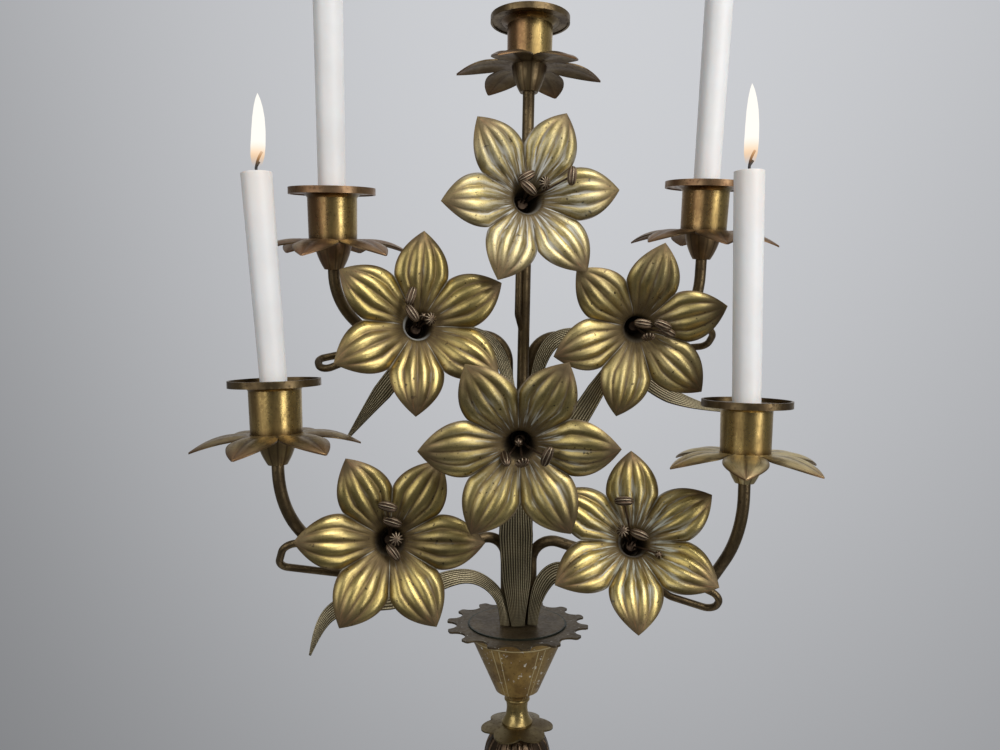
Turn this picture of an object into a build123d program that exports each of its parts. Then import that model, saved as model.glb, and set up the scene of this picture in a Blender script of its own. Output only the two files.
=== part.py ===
from build123d import *
from dataclasses import dataclass
from math import cos, pi, radians, sin, tan
import os

# Tabletop candelabra in brass: five candle places, six pressed lilies, long leaves, a vase on a knopped foot.
# Millimetres, +Z up, the lilies face -Y, the origin lies on the stem axis under the foot.

# Clearances
SOLDER_GAP = 0.1
TURNED_GAP = 0.2
SLIDE_GAP = 0.4

# Foot and column, turned, stacked on one tie rod
FOOT_RADIUS = 96.0
FOOT_RIM_HEIGHT = 6.0
FOOT_HEIGHT = 98.0
FOOT_WALL = 3.0
FOOT_TOP_RADIUS = 17.0
LOWER_NECK_HEIGHT = 32.0
LOWER_NECK_WAIST = 10.0
KNOP_RADIUS = 27.0
KNOP_HEIGHT = 44.0
KNOP_END_RADIUS = 18.0
KNOP_FLUTES = 16
KNOP_FLUTE_RADIUS = 2.6
KNOP_FLUTE_DEPTH = 1.1
COLLAR_RADIUS = 29.5
COLLAR_LOBES = 6
COLLAR_LOBE_RADIUS = 11.5
COLLAR_SHEET = 1.6
COLLAR_RISE = 5.0
NECK_HEIGHT = 22.0
NECK_WAIST = 8.6
NECK_FLARE = 12.5
NECK_BEAD = 1.3
TIE_RADIUS = 4.0
TIE_NUT_ACROSS = 15.0
TIE_NUT_HEIGHT = 7.0
TIE_END = 3.0

# Vase and its crown
VASE_HEIGHT = 59.0
VASE_FOOT_RADIUS = 10.2
VASE_SHOULDER_RADIUS = 17.6
VASE_SHOULDER_HEIGHT = 6.5
VASE_MOUTH_RADIUS = 41.0
VASE_WALL = 1.8
VASE_FLOOR = 6.0
CROWN_LOBES = 14
CROWN_RADIUS = 57.5
CROWN_VALLEY = 49.0
CROWN_SCOOP = 8.6
CROWN_LOBE_ROUND = 2.6
CROWN_SHEET = 1.5
DISC_RADIUS = 39.6
DISC_SHEET = 1.0
SOCKET_RADIUS = 17.0
SOCKET_DEPTH = 20.0
SOCKET_FLOOR = 2.0

# Rods of the bouquet
STEM_RADIUS = 4.7
ARM_RADIUS = 4.3
TENDRIL_RADIUS = 2.7

# Candle places, measured up from the end of the arm
CALYX_HEIGHT = 22.0
CALYX_MOUTH = 18.0
CALYX_WALL = 1.4
CALYX_SWELL = 0.62
CUP_RADIUS = 18.0
CUP_FOOT_RADIUS = 17.6
CUP_WALL = 1.3
CUP_FLOOR = 1.6
CUP_HEIGHT = 33.0
CUP_LIP_RADIUS = 24.0
CUP_LIP_HEIGHT = 3.2
PAN_RADIUS = 31.5
PAN_RIM_HEIGHT = 4.8
PAN_RIM_DROP = 0.8
PAN_RIM_WALL = 1.6
PAN_SHEET = 1.3
CANDLE_BORE = 10.8
CANDLE_TUBE_WALL = 1.1
CANDLE_TUBE_DEPTH = 28.0
SCREW_RADIUS = 2.2
SCREW_HEAD_RADIUS = 4.6
SCREW_HEAD_HEIGHT = 1.8
SCREW_LENGTH = 12.0

# Candles
CANDLE_TOP_RADIUS = 10.6
CANDLE_POOL_RADIUS = 8.0
CANDLE_POOL_DEPTH = 1.4
WICK_RADIUS = 0.9
WICK_HEIGHT = 9.0
WICK_LEAN = 2.5

# Lily fittings
LILY_FLOOR_RADIUS = 6.3
LILY_FLOOR_DEPTH = 33.0
LILY_FLOOR_SHEET = 1.4
LILY_WALL = 2.0
LILY_SWELL = 0.3
FERRULE_RADIUS = 4.8
FERRULE_HEIGHT = 6.0
FERRULE_GRIP = 3.2
WIRE_RADIUS = 0.7
ANTHER_LENGTH = 11.0
ANTHER_RADIUS = 2.7
PISTIL_RADIUS = 4.6
PISTIL_HEIGHT = 4.2

# Leaves
LEAF_SHEET = 1.0
LEAF_CHANNEL = 0.16
LEAF_SECTIONS = 9


@dataclass
class Flower:
    """One pressed flower: petals lofted from a funnel, sizes in its own frame with the axis along +Z."""

    reach: float
    rim: float
    parting: float
    base: float
    rise: float
    droop: float
    droop_power: float
    taper_power: float
    bulge: float
    ribs: int
    rib_height: float
    dome: float
    sheet: float


PETALS = 6
PETAL_PARTING = 0.12
RIB_RUN_IN = 0.14
PETAL_STEPS = 24
PETAL_STATIONS = (0.0, 0.1, 0.2, 0.31, 0.42, 0.54, 0.66, 0.78, 0.88, 0.95, 0.99)
PETAL_ROOT = 3.0
LILY = Flower(66.0, 12.5, 33.5, -11.0, 16.0, 5.0, 4.0, 1.5, 1.0, 4, 2.2, 0.22, 1.1)
SAUCER = Flower(58.0, CALYX_MOUTH, 24.0, CALYX_HEIGHT - 0.8, 2.0, 12.0, 2.2, 2.6, 2.5, 2, 0.9, 0.14, 1.0)

# From here to the leaves, heights are given from the top of the crown's disc
# Where each lily faces: centre of its petal tips, turn to the right, tilt up, roll of the petals
LILIES = {
    "top": ((2, -81, 330.5), 10, 5, 36),
    "upper_left": ((-77, -82, 241.5), 7.5, 10, -4),
    "upper_right": ((83, -67, 235.5), -3, -10, -13.5),
    "centre": ((-13.5, -133, 158), -8, -8.5, 31),
    "lower_left": ((-97.5, -90.5, 89.5), 5, 9, 27.5),
    "lower_right": ((75, -86, 87), -8, 25, 0),
}

# Where each candle place begins, its lean towards +X and its nod towards -Y in degrees
LIGHTS = {
    "top": ((9, 1, 425.8), 1.2, 0),
    "upper_left": ((-141, -36, 281.6), 0, 7),
    "upper_right": ((142, -26, 292.3), 1.5, 6),
    "lower_left": ((-175.4, -80, 143.1), -1.5, 0.5),
    "lower_right": ((151.7, -95, 127.9), 1, 0.5),
}

# Turn of each petal saucer about its candle's axis
SAUCER_TURNS = {"top": 30, "upper_left": -15, "upper_right": -1, "lower_left": -18, "lower_right": 39}
# Length of each candle, the radius of its foot, and its own lean in the socket
CANDLES = {
    "upper_left": (190.0, 10.0, 0),
    "upper_right": (190.0, 10.0, 0),
    "lower_left": (171.0, 9.2, -2.4),
    "lower_right": (190.0, 10.0, -1.2),
}

# Corners of the bent arms between the vase and the candle place, with the bend at each corner
ARM_FEET = {
    "upper_left": (-6.5, 7.5),
    "upper_right": (8.0, 8.0),
    "lower_left": (-9.5, -3),
    "lower_right": (11.2, -3),
}
ARM_BENDS = {
    "upper_left": [((-7, 7.5, 234.5), 22), ((-111.4, -15, 227.3), 24)],
    "upper_right": [((11.5, 7.5, 236.5), 22), ((116, -6, 217.5), 24)],
    "lower_left": [((-9.5, -3, 75.5), 18), ((-66, -24, 65.5), 60), ((-149.6, -48, 70.9), 24)],
    "lower_right": [((11.2, -3, 73.5), 18), ((62, -22, 59.5), 50), ((134.8, -62, 42.6), 13)],
}

# Straight rise of each arm under its candle place, and the bend below it
ARM_RISES = {
    "upper_left": (22.5, 50),
    "upper_right": (36, 80),
    "lower_left": (30, 68),
    "lower_right": (37, 88),
}

# Tendrils that carry the lilies: take-off along the rod, the two corners of the loop, the bends
TENDRIL_LOOPS = {
    "top": (
        0.54,
        [((-0.1, -4.8, 249.5), 6), ((2.1, -4.6, 343.5), 10), ((-24, -10, 371.5), 8), ((-20, -32, 371.5), 8)],
    ),
    "upper_left": (0.74, [((-152.7, -42, 215.1), 7), ((-148.8, -56, 206.5), 7)]),
    "upper_right": (0.74, [((149, -20, 224.5), 9), ((151, -38, 238.5), 9)]),
    "lower_left": (0.56, [((-133.5, -46, 55.8), 16), ((-179.7, -60, 66.7), 8), ((-172.9, -74, 85.8), 8)]),
    "lower_right": (0.54, [((104.9, -54, 36.8), 16), ((141.5, -64, 26.5), 9), ((143, -76, 40.5), 7)]),
}
TENDRIL_RUN = 17.0
TENDRIL_TURN = 9.0
CENTRE_STEM_FOOT = (0, -8)
CENTRE_STEM_BEND = 30.0
CENTRE_STEM_RISE = 20.0
CENTRE_STEM_SWEEP = 60.0

# Leaves: centre line, half widths along it, and the way the blade faces
LEAVES = {
    "upright": (
        [(-1, -14, 0.7), (-2, -17, 37.5), (-3, -20, 82.5), (-3, -21, 122.5), (-3, -21, 149.5)],
        (5.0, 11.5, 13.6, 11.0, 0.8),
        (0, -1, 0),
    ),
    "upper_left": (
        [
            (-2.4, -5.5, 162.5),
            (-7.5, -7, 195.5),
            (-26, -8, 230.5),
            (-60, -16, 232.5),
            (-96, -30, 203.5),
            (-132, -45, 155.5),
        ],
        (2.5, 5.0, 7.5, 8.5, 7.5, 0.8),
        (0, -0.8, 0.6),
    ),
    "upper_right": (
        [
            (9.4, -5.5, 162.5),
            (13.5, -7, 195.5),
            (32, -8, 231.5),
            (66, -13, 227.5),
            (108, -24, 192.5),
            (160, -32, 173.5),
        ],
        (2.5, 5.0, 7.5, 8.5, 7.5, 0.8),
        (0, -0.8, 0.6),
    ),
    "lower_left": (
        [
            (-11, -11.5, 0.7),
            (-14, -12, 21.5),
            (-36, -16, 42.5),
            (-92, -26, 32.5),
            (-146, -38, 23.5),
            (-160, -44, -5.5),
        ],
        (4.0, 5.0, 7.0, 9.0, 7.0, 0.8),
        (0, -0.8, 0.6),
    ),
    "lower_right": (
        [
            (11, -11.5, 0.7),
            (14, -12, 21.5),
            (30, -16, 45.5),
            (42, -20, 45.5),
            (52, -24, 41.5),
            (60, -27, 34.5),
        ],
        (4.0, 5.0, 7.0, 8.0, 6.0, 0.8),
        (0, -0.8, 0.6),
    ),
    "middle_right": (
        [(2.0, -11.5, 89.5), (14, -15, 117.5), (40, -28, 161.5), (62, -32, 197.5), (77, -34, 225.5)],
        (3.0, 5.5, 9.0, 7.0, 0.8),
        (0, -1, 0),
    ),
}

# Heights up the column
LOWER_NECK_BASE = FOOT_HEIGHT
KNOP_BASE = LOWER_NECK_BASE + LOWER_NECK_HEIGHT
COLLAR_BASE = KNOP_BASE + KNOP_HEIGHT
NECK_BASE = COLLAR_BASE + COLLAR_RISE
VASE_BASE = NECK_BASE + NECK_HEIGHT
CROWN_BASE = VASE_BASE + VASE_HEIGHT
DISC_BASE = CROWN_BASE + CROWN_SHEET
DISC_TOP = DISC_BASE + DISC_SHEET
ROD_FOOT = CROWN_BASE - SOCKET_DEPTH + SOCKET_FLOOR
TIE_BORE = TIE_RADIUS + TURNED_GAP
PAN_SEAT = CALYX_HEIGHT + CUP_HEIGHT
CANDLE_SEAT = PAN_SEAT + PAN_SHEET - CANDLE_TUBE_DEPTH


def over_disc(at):
    """A place whose height is given from the top of the crown's disc."""
    x, y, rise = at
    return Vector(x, y, DISC_TOP + rise)


def turned(outline):
    """A lathe-turned solid from a closed outline of radius and height."""
    return revolve(Plane.XZ * make_face(outline), Axis.Z)


def bored(solid, radius, low, high):
    """The solid with a straight hole on its axis between two heights."""
    return solid - drum(radius, low, high)


def drum(radius, low, high):
    """A plain cylinder on the axis between two heights."""
    standing = (Align.CENTER, Align.CENTER, Align.MIN)
    return Pos(0, 0, low) * Cylinder(radius, high - low, align=standing)


def around(solid, count, start=0.0):
    """Copies of a solid spread evenly about the axis."""
    return [Rot(0, 0, start + 360 * k / count) * solid for k in range(count)]


def save(name, *solids):
    """Write one sub-part, a single solid or a group of separate ones."""
    shape = solids[0] if len(solids) == 1 else Compound(children=list(solids))
    export_step(shape, os.path.join("parts", name + ".step"))


# Foot, column and vase


def foot_line(inset):
    """Outer line of the spun foot from the ground to its top, moved inward by inset."""
    step = (FOOT_RADIUS - FOOT_TOP_RADIUS) / 4
    rim = FOOT_RADIUS - inset
    ledge = FOOT_RADIUS - step - inset
    cove = FOOT_RADIUS - 2 * step - inset
    low = FOOT_RIM_HEIGHT - min(inset, FOOT_RIM_HEIGHT / 2)
    mid = FOOT_HEIGHT * 0.36 - inset
    top = FOOT_HEIGHT - inset
    return (
        Line((rim, 0), (rim, low))
        + ThreePointArc((rim, low), (rim - step * 0.25, low + step * 0.42), (ledge, low + step * 0.55))
        + ThreePointArc((ledge, low + step * 0.55), (cove + step * 0.28, mid - step * 0.5), (cove, mid))
        + Line((cove, mid), (cove - step * 0.25, mid + step * 0.1))
        + ThreePointArc(
            (cove - step * 0.25, mid + step * 0.1),
            (FOOT_TOP_RADIUS + step * 0.62 - inset, mid + (top - mid) * 0.5),
            (FOOT_TOP_RADIUS - inset, top),
        )
        + Line((FOOT_TOP_RADIUS - inset, top), (0, top))
        + Line((0, top), (0, 0))
        + Line((0, 0), (rim, 0))
    )


def foot():
    """Spun round foot, hollow underneath, with a bored top."""
    shell = turned(foot_line(0)) - turned(foot_line(FOOT_WALL))
    return bored(shell, TIE_BORE, 0, FOOT_HEIGHT + 1)


def spool(base, height, bottom, waist, top):
    """A waisted neck between two pieces of the column."""
    bow = waist + (bottom - waist) * 0.12
    ledge = base + height * 0.08
    outline = (
        Line((0, base), (bottom, base))
        + Line((bottom, base), (bottom, ledge))
        + ThreePointArc((bottom, ledge), (bow, base + height * 0.4), (waist, base + height * 0.72))
        + Line((waist, base + height * 0.72), (top, base + height * 0.86))
        + ThreePointArc(
            (top, base + height * 0.86), (top + NECK_BEAD, base + height * 0.93), (top, base + height)
        )
        + Line((top, base + height), (0, base + height))
        + Line((0, base + height), (0, base))
    )
    return bored(turned(outline), TIE_BORE, base - 1, base + height + 1)


def knop():
    """Flattened ball knop with upright flutes."""
    middle = KNOP_BASE + KNOP_HEIGHT / 2
    side = ThreePointArc((KNOP_END_RADIUS, KNOP_BASE), (KNOP_RADIUS, middle), (KNOP_END_RADIUS, COLLAR_BASE))
    outline = (
        side
        + Line((KNOP_END_RADIUS, COLLAR_BASE), (0, COLLAR_BASE))
        + Line((0, COLLAR_BASE), (0, KNOP_BASE))
        + Line((0, KNOP_BASE), (KNOP_END_RADIUS, KNOP_BASE))
    )
    ball = bored(turned(outline), TIE_BORE, KNOP_BASE - 1, COLLAR_BASE + 1)
    out = KNOP_FLUTE_RADIUS - KNOP_FLUTE_DEPTH
    edge = KNOP_END_RADIUS + out + KNOP_FLUTE_DEPTH
    rise = KNOP_HEIGHT * 0.06
    groove_path = Plane.XZ * ThreePointArc(
        (edge, KNOP_BASE + rise), (KNOP_RADIUS + out, middle), (edge, COLLAR_BASE - rise)
    )
    groove = sweep(Plane(groove_path @ 0, z_dir=groove_path % 0) * Circle(KNOP_FLUTE_RADIUS), groove_path)
    return ball - around(groove, KNOP_FLUTES)


def collar():
    """Small lobed pan that crowns the knop."""
    edge = COLLAR_BASE + COLLAR_SHEET
    hub = NECK_FLARE
    outline = (
        Line((0, COLLAR_BASE), (KNOP_END_RADIUS - 1, COLLAR_BASE))
        + ThreePointArc(
            (KNOP_END_RADIUS - 1, COLLAR_BASE),
            (COLLAR_RADIUS * 0.72, COLLAR_BASE + COLLAR_RISE * 0.25),
            (COLLAR_RADIUS, COLLAR_BASE + COLLAR_RISE * 0.05),
        )
        + Line((COLLAR_RADIUS, COLLAR_BASE + COLLAR_RISE * 0.05), (COLLAR_RADIUS, edge))
        + ThreePointArc((COLLAR_RADIUS, edge), (COLLAR_RADIUS * 0.74, edge + 1.6), (hub, NECK_BASE))
        + Line((hub, NECK_BASE), (0, NECK_BASE))
        + Line((0, NECK_BASE), (0, COLLAR_BASE))
    )
    plan = Circle(COLLAR_RADIUS - COLLAR_LOBE_RADIUS * 0.55)
    for k in range(COLLAR_LOBES):
        lobe = Pos(COLLAR_RADIUS - COLLAR_LOBE_RADIUS, 0) * Circle(COLLAR_LOBE_RADIUS)
        plan += Rot(0, 0, 360 * k / COLLAR_LOBES) * lobe
    prism = Pos(0, 0, COLLAR_BASE - 1) * extrude(plan, COLLAR_RISE + 2)
    return bored(turned(outline) & prism, TIE_BORE, COLLAR_BASE - 1, NECK_BASE + 1)


def vase_line(inset):
    """Outer line of the conical vase from its foot to its mouth, moved inward by inset."""
    shoulder = VASE_BASE + VASE_SHOULDER_HEIGHT
    return (
        ThreePointArc(
            (VASE_FOOT_RADIUS - inset, VASE_BASE),
            (VASE_FOOT_RADIUS + 1.6 - inset, VASE_BASE + VASE_SHOULDER_HEIGHT * 0.55),
            (VASE_SHOULDER_RADIUS - inset, shoulder),
        )
        + Line((VASE_SHOULDER_RADIUS - inset, shoulder), (VASE_MOUTH_RADIUS - inset, CROWN_BASE))
        + Line((VASE_MOUTH_RADIUS - inset, CROWN_BASE), (0, CROWN_BASE))
        + Line((0, CROWN_BASE), (0, VASE_BASE))
        + Line((0, VASE_BASE), (VASE_FOOT_RADIUS - inset, VASE_BASE))
    )


def vase():
    """Conical vase, hollow above its floor."""
    inside = turned(vase_line(VASE_WALL)) - drum(VASE_MOUTH_RADIUS, VASE_BASE - 1, VASE_BASE + VASE_FLOOR)
    return bored(turned(vase_line(0)) - inside, TIE_BORE, VASE_BASE - 1, CROWN_BASE)


def rod_holes():
    """Cutters for every rod that stands in the vase, each along its own rod."""
    rods = [(stem_path(), STEM_RADIUS), (centre_path(), TENDRIL_RADIUS)]
    rods += [(arm_path(name), ARM_RADIUS) for name in ARM_FEET]
    reach = DISC_TOP - ROD_FOOT + 2
    return [Plane(path @ 0, z_dir=path % 0) * drum(radius + SOLDER_GAP, 0, reach) for path, radius in rods]


def crown():
    """Scalloped crown plate on the mouth of the vase."""
    scoop = Pos(CROWN_VALLEY + CROWN_SCOOP, 0) * Circle(CROWN_SCOOP)
    plan = Circle(CROWN_RADIUS) - around(scoop, CROWN_LOBES)
    plan = fillet(plan.vertices(), CROWN_LOBE_ROUND)
    return Pos(0, 0, CROWN_BASE) * extrude(plan, CROWN_SHEET) - rod_holes()


def crown_disc():
    """Raised round plate that closes the vase around the stems."""
    return drum(DISC_RADIUS, DISC_BASE, DISC_TOP) - rod_holes()


def stem_socket():
    """Block under the crown with a blind hole for every rod."""
    return drum(SOCKET_RADIUS, CROWN_BASE - SOCKET_DEPTH, CROWN_BASE) - rod_holes()


def tie_nut(base):
    """Hexagon nut on the tie rod."""
    hexagon = RegularPolygon(TIE_NUT_ACROSS / 2, 6, major_radius=False)
    blank = Pos(0, 0, base) * extrude(hexagon, TIE_NUT_HEIGHT)
    return bored(blank, TIE_RADIUS + SOLDER_GAP, base - 1, base + TIE_NUT_HEIGHT + 1)


# Pressed flowers


def crest(flower, share):
    """Height of the petal's middle at a share of its length, straight on inside the funnel."""
    if share < 0:
        return flower.base + 2 * flower.rise * share
    lift = flower.rise * (1 - (1 - share) ** 2)
    return flower.base + lift - flower.droop * share**flower.droop_power


def half_width(flower, out):
    """Half the petal's width at a distance from the flower's axis."""
    if out <= flower.parting:
        return out * tan(pi / PETALS) - PETAL_PARTING
    full = flower.parting * tan(pi / PETALS) - PETAL_PARTING
    share = (out - flower.parting) / (flower.reach - flower.parting)
    return full * (1 - share**flower.taper_power) + 4 * flower.bulge * share * (1 - share)


def petal_section(flower, out):
    """Closed outline of the pressed sheet across the petal at a distance from the axis."""
    share = (out - flower.rim) / (flower.reach - flower.rim)
    half = half_width(flower, out)
    relief = flower.rib_height * sin(pi * (RIB_RUN_IN + (0.94 - RIB_RUN_IN) * share)) if share > 0 else 0.0
    front = []
    back = []
    for k in range(PETAL_STEPS + 1):
        q = 2 * k / PETAL_STEPS - 1
        rib = relief * abs(sin(pi * flower.ribs / 2 * q)) ** 1.3
        sag = flower.dome * half * q * q * min(1.0, max(0.0, share * 4))
        level = crest(flower, share) + rib - sag
        front.append((out, half * q, level + flower.sheet / 2))
        back.append((out, half * q, level - flower.sheet / 2))
    even = [k / PETAL_STEPS for k in range(PETAL_STEPS + 1)]
    outer = Edge.make_spline([Vector(*spot) for spot in front], parameters=even)
    inner = Edge.make_spline([Vector(*spot) for spot in reversed(back)], parameters=even)
    return Wire([outer, Line(front[-1], back[-1]), inner, Line(back[0], front[0])])


def petals(flower):
    """Six ribbed petals, the first along +Y."""
    length = flower.reach - flower.rim
    stations = [flower.rim - PETAL_ROOT] + [flower.rim + length * share for share in PETAL_STATIONS]
    blade = Solid.make_loft([petal_section(flower, out) for out in stations])
    return around(blade, PETALS, 90)


def funnel(flower, floor_radius, floor_level, wall, floor_sheet, bore, swell):
    """Throat of a flower: a trumpet from a bored floor to the rim that carries the petals."""
    length = flower.reach - flower.rim
    inner = flower.rim - PETAL_ROOT - 1
    low = crest(flower, (inner - flower.rim) / length)
    high = crest(flower, 0)
    half = wall / 2
    waist = floor_radius + (inner - floor_radius) * swell
    bend = floor_level + (low - floor_level) * 0.55
    outline = (
        Line((bore, floor_level), (floor_radius, floor_level))
        + ThreePointArc((floor_radius, floor_level), (waist + half, bend), (inner, low - half))
        + Line((inner, low - half), (flower.rim, high - half))
        + Line((flower.rim, high - half), (flower.rim, high + half))
        + Line((flower.rim, high + half), (inner, low + half))
        + ThreePointArc(
            (inner, low + half), (waist - half, bend + half), (floor_radius - half, floor_level + floor_sheet)
        )
        + Line((floor_radius - half, floor_level + floor_sheet), (bore, floor_level + floor_sheet))
        + Line((bore, floor_level + floor_sheet), (bore, floor_level))
    )
    return turned(outline)


def lily():
    """Pressed lily of one sheet: throat and six ribbed petals, tips on the plane of its origin."""
    throat = funnel(
        LILY,
        LILY_FLOOR_RADIUS,
        -LILY_FLOOR_DEPTH,
        LILY_WALL,
        LILY_FLOOR_SHEET,
        TENDRIL_RADIUS + SOLDER_GAP,
        LILY_SWELL,
    )
    return throat.fuse(*petals(LILY))


def saucer(rod_radius):
    """Drooping petal saucer under a candle cup, with the calyx that grips the rod."""
    floor_radius = rod_radius + CALYX_WALL + 1
    bore = rod_radius + SOLDER_GAP
    calyx = funnel(SAUCER, floor_radius, 0, CALYX_WALL + 0.2, CALYX_WALL, bore, CALYX_SWELL)
    return calyx.fuse(*petals(SAUCER))


# Lily fittings


def ferrule():
    """Round cap that fixes a lily on its tendril and holds the stamens."""
    base = -LILY_FLOOR_DEPTH + LILY_FLOOR_SHEET
    top = base + FERRULE_HEIGHT
    edge = FERRULE_RADIUS * 0.72
    outline = (
        Line((0, base), (FERRULE_RADIUS - 1.6, base))
        + ThreePointArc(
            (FERRULE_RADIUS - 1.6, base), (FERRULE_RADIUS, base + FERRULE_HEIGHT / 2), (edge, top)
        )
        + Line((edge, top), (0, top))
        + Line((0, top), (0, base))
    )
    return turned(outline) - drum(TENDRIL_RADIUS + SOLDER_GAP, base - 1, base + FERRULE_GRIP + SOLDER_GAP)


def filament(angle, spread, height):
    """Path of one wire from the ferrule out to its head."""
    base = -LILY_FLOOR_DEPTH + LILY_FLOOR_SHEET + FERRULE_HEIGHT
    foot = FERRULE_RADIUS * 0.42
    ray = Vector(cos(radians(angle)), sin(radians(angle)), 0)
    knee = ray * foot + Vector(0, 0, base + 9)
    start = ray * foot + Vector(0, 0, base)
    return FilletPolyline(start, knee, ray * spread + Vector(0, 0, height), radius=6)


def wire(path):
    """Round wire along a path."""
    return sweep(Plane(path @ 0, z_dir=path % 0) * Circle(WIRE_RADIUS), path)


def stamen(angle, spread, height):
    """Wire with a spindle-shaped anther set across its end."""
    path = filament(angle, spread, height)
    tip = ANTHER_LENGTH / 2
    bow = Spline((0, -tip), (ANTHER_RADIUS, 0), (0, tip), tangents=((1, 0), (-1, 0)))
    spindle = revolve(Plane.XY * make_face(bow + Line((0, tip), (0, -tip))), Axis.Y)
    seat = Plane(path @ 1, x_dir=path % 1, z_dir=Vector(0, 0, 1).cross(path % 1))
    return wire(path).fuse(seat * Rot(0, 25, 35) * spindle)


def pistil(angle, spread, height):
    """Wire with a domed round stigma."""
    path = filament(angle, spread, height)
    shoulder = (PISTIL_RADIUS * 0.74, PISTIL_HEIGHT * 0.72)
    dome = Spline((PISTIL_RADIUS, 0), shoulder, (0, PISTIL_HEIGHT), tangents=((0, 1), (-1, 0)))
    head = turned(dome + Line((0, PISTIL_HEIGHT), (0, 0)) + Line((0, 0), (PISTIL_RADIUS, 0)))
    seat = Plane(path @ 1, z_dir=path % 1)
    return wire(path).fuse(seat * Pos(0, 0, -WIRE_RADIUS) * head)


def stamens():
    """Three stamens and a pistil of one lily."""
    return [stamen(200, 9, -4), stamen(320, 13, -2), stamen(80, 11, -6), pistil(250, 4, -6)]


def lily_plane(name):
    """Frame of a lily: origin at the centre of its petal tips, +Z the way it faces."""
    at, turn, tilt, roll = LILIES[name]
    turn, tilt, roll = radians(turn), radians(tilt), radians(roll)
    face = Vector(sin(turn) * cos(tilt), -cos(turn) * cos(tilt), sin(tilt))
    side = Vector(0, 0, 1).cross(face).normalized()
    return Plane(over_disc(at), x_dir=side * cos(roll) + face.cross(side) * sin(roll), z_dir=face)


# Stem, arms and tendrils


def rod(path, radius):
    """Round rod along a path."""
    return sweep(Plane(path @ 0, z_dir=path % 0) * Circle(radius), path)


def light_plane(name):
    """Frame of a candle place: origin at the end of its arm, +Z up the candle."""
    at, lean, nod = LIGHTS[name]
    lean = tan(radians(lean))
    nod = tan(radians(nod))
    return Plane(over_disc(at), x_dir=(1, 0, -lean), z_dir=(lean, -nod, 1))


def rod_end(name):
    """Top end of the rod inside a candle place, just under the cup."""
    return light_plane(name).from_local_coords(Vector(0, 0, CALYX_HEIGHT - SOLDER_GAP))


def stem_path():
    """Line of the middle stem."""
    return Line((0, 0, ROD_FOOT), rod_end("top"))


def arm_path(name):
    """Line of a bent arm from the socket to its candle place."""
    x, y = ARM_FEET[name]
    rise, last_bend = ARM_RISES[name]
    corners = [over_disc(at) for at, _ in ARM_BENDS[name]]
    corners.append(light_plane(name).from_local_coords(Vector(0, 0, -rise)))
    bends = [bend for _, bend in ARM_BENDS[name]] + [last_bend]
    return FilletPolyline((x, y, ROD_FOOT), *corners, rod_end(name), radius=bends)


def tapped(solid, name):
    """A rod with the screw hole in the end that enters a candle place."""
    hole = drum(SCREW_RADIUS + SOLDER_GAP, CALYX_HEIGHT - SCREW_LENGTH - 1, CALYX_HEIGHT + 1)
    return solid - light_plane(name) * hole


def tendril(name, carrier_path, carrier_radius):
    """Looped rod from its carrier out past the lily and back to the lily's throat."""
    share, loop = TENDRIL_LOOPS[name]
    plane = lily_plane(name)
    grip = Vector(0, 0, -LILY_FLOOR_DEPTH + LILY_FLOOR_SHEET + FERRULE_GRIP)
    behind = Vector(0, 0, -LILY_FLOOR_DEPTH - TENDRIL_RUN)
    points = [carrier_path @ share, *[over_disc(at) for at, _ in loop], plane.from_local_coords(behind)]
    bends = [bend for _, bend in loop] + [TENDRIL_TURN]
    path = FilletPolyline(*points, plane.from_local_coords(grip), radius=bends)
    return rod(path, TENDRIL_RADIUS) - rod(carrier_path, carrier_radius + SOLDER_GAP)


def centre_path():
    """Line of the rod that stands in the vase and bends forward to the middle lily."""
    plane = lily_plane("centre")
    grip = plane.from_local_coords(Vector(0, 0, -LILY_FLOOR_DEPTH + LILY_FLOOR_SHEET + FERRULE_GRIP))
    x, y = CENTRE_STEM_FOOT
    run = (y - grip.Y) / -plane.z_dir.Y
    knee = grip - plane.z_dir * run
    bends = [CENTRE_STEM_SWEEP, CENTRE_STEM_BEND]
    return FilletPolyline((x, y, ROD_FOOT), (x, y, DISC_TOP + CENTRE_STEM_RISE), knee, grip, radius=bends)


# Leaves


def leaf_section(at, along, half, facing):
    """Channelled cross-section of a leaf at a point of its centre line."""
    across = Vector(facing).cross(along).normalized()
    out = along.cross(across).normalized()
    dip = half * LEAF_CHANNEL
    half_sheet = LEAF_SHEET / 2

    def spot(q, level):
        return at + across * (half * q) + out * level

    front = ThreePointArc(spot(-1, half_sheet - dip), spot(0, half_sheet), spot(1, half_sheet - dip))
    back = ThreePointArc(spot(1, -half_sheet - dip), spot(0, -half_sheet), spot(-1, -half_sheet - dip))
    return Wire([front, Line(front @ 1, back @ 0), back, Line(back @ 1, front @ 0)])


def leaf(name):
    """Long pressed leaf lofted along its centre line, notched where it is soldered to the middle stem."""
    line, halves, facing = LEAVES[name]
    spine = Spline(*[over_disc(at) for at in line])
    sections = []
    for k in range(LEAF_SECTIONS + 1):
        share = k / LEAF_SECTIONS
        place = share * (len(halves) - 1)
        low = min(int(place), len(halves) - 2)
        half = halves[low] + (halves[low + 1] - halves[low]) * (place - low)
        sections.append(leaf_section(spine @ share, spine % share, half, facing))
    return Solid.make_loft(sections) - rod(stem_path(), STEM_RADIUS + SOLDER_GAP)


# Candle places


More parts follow.
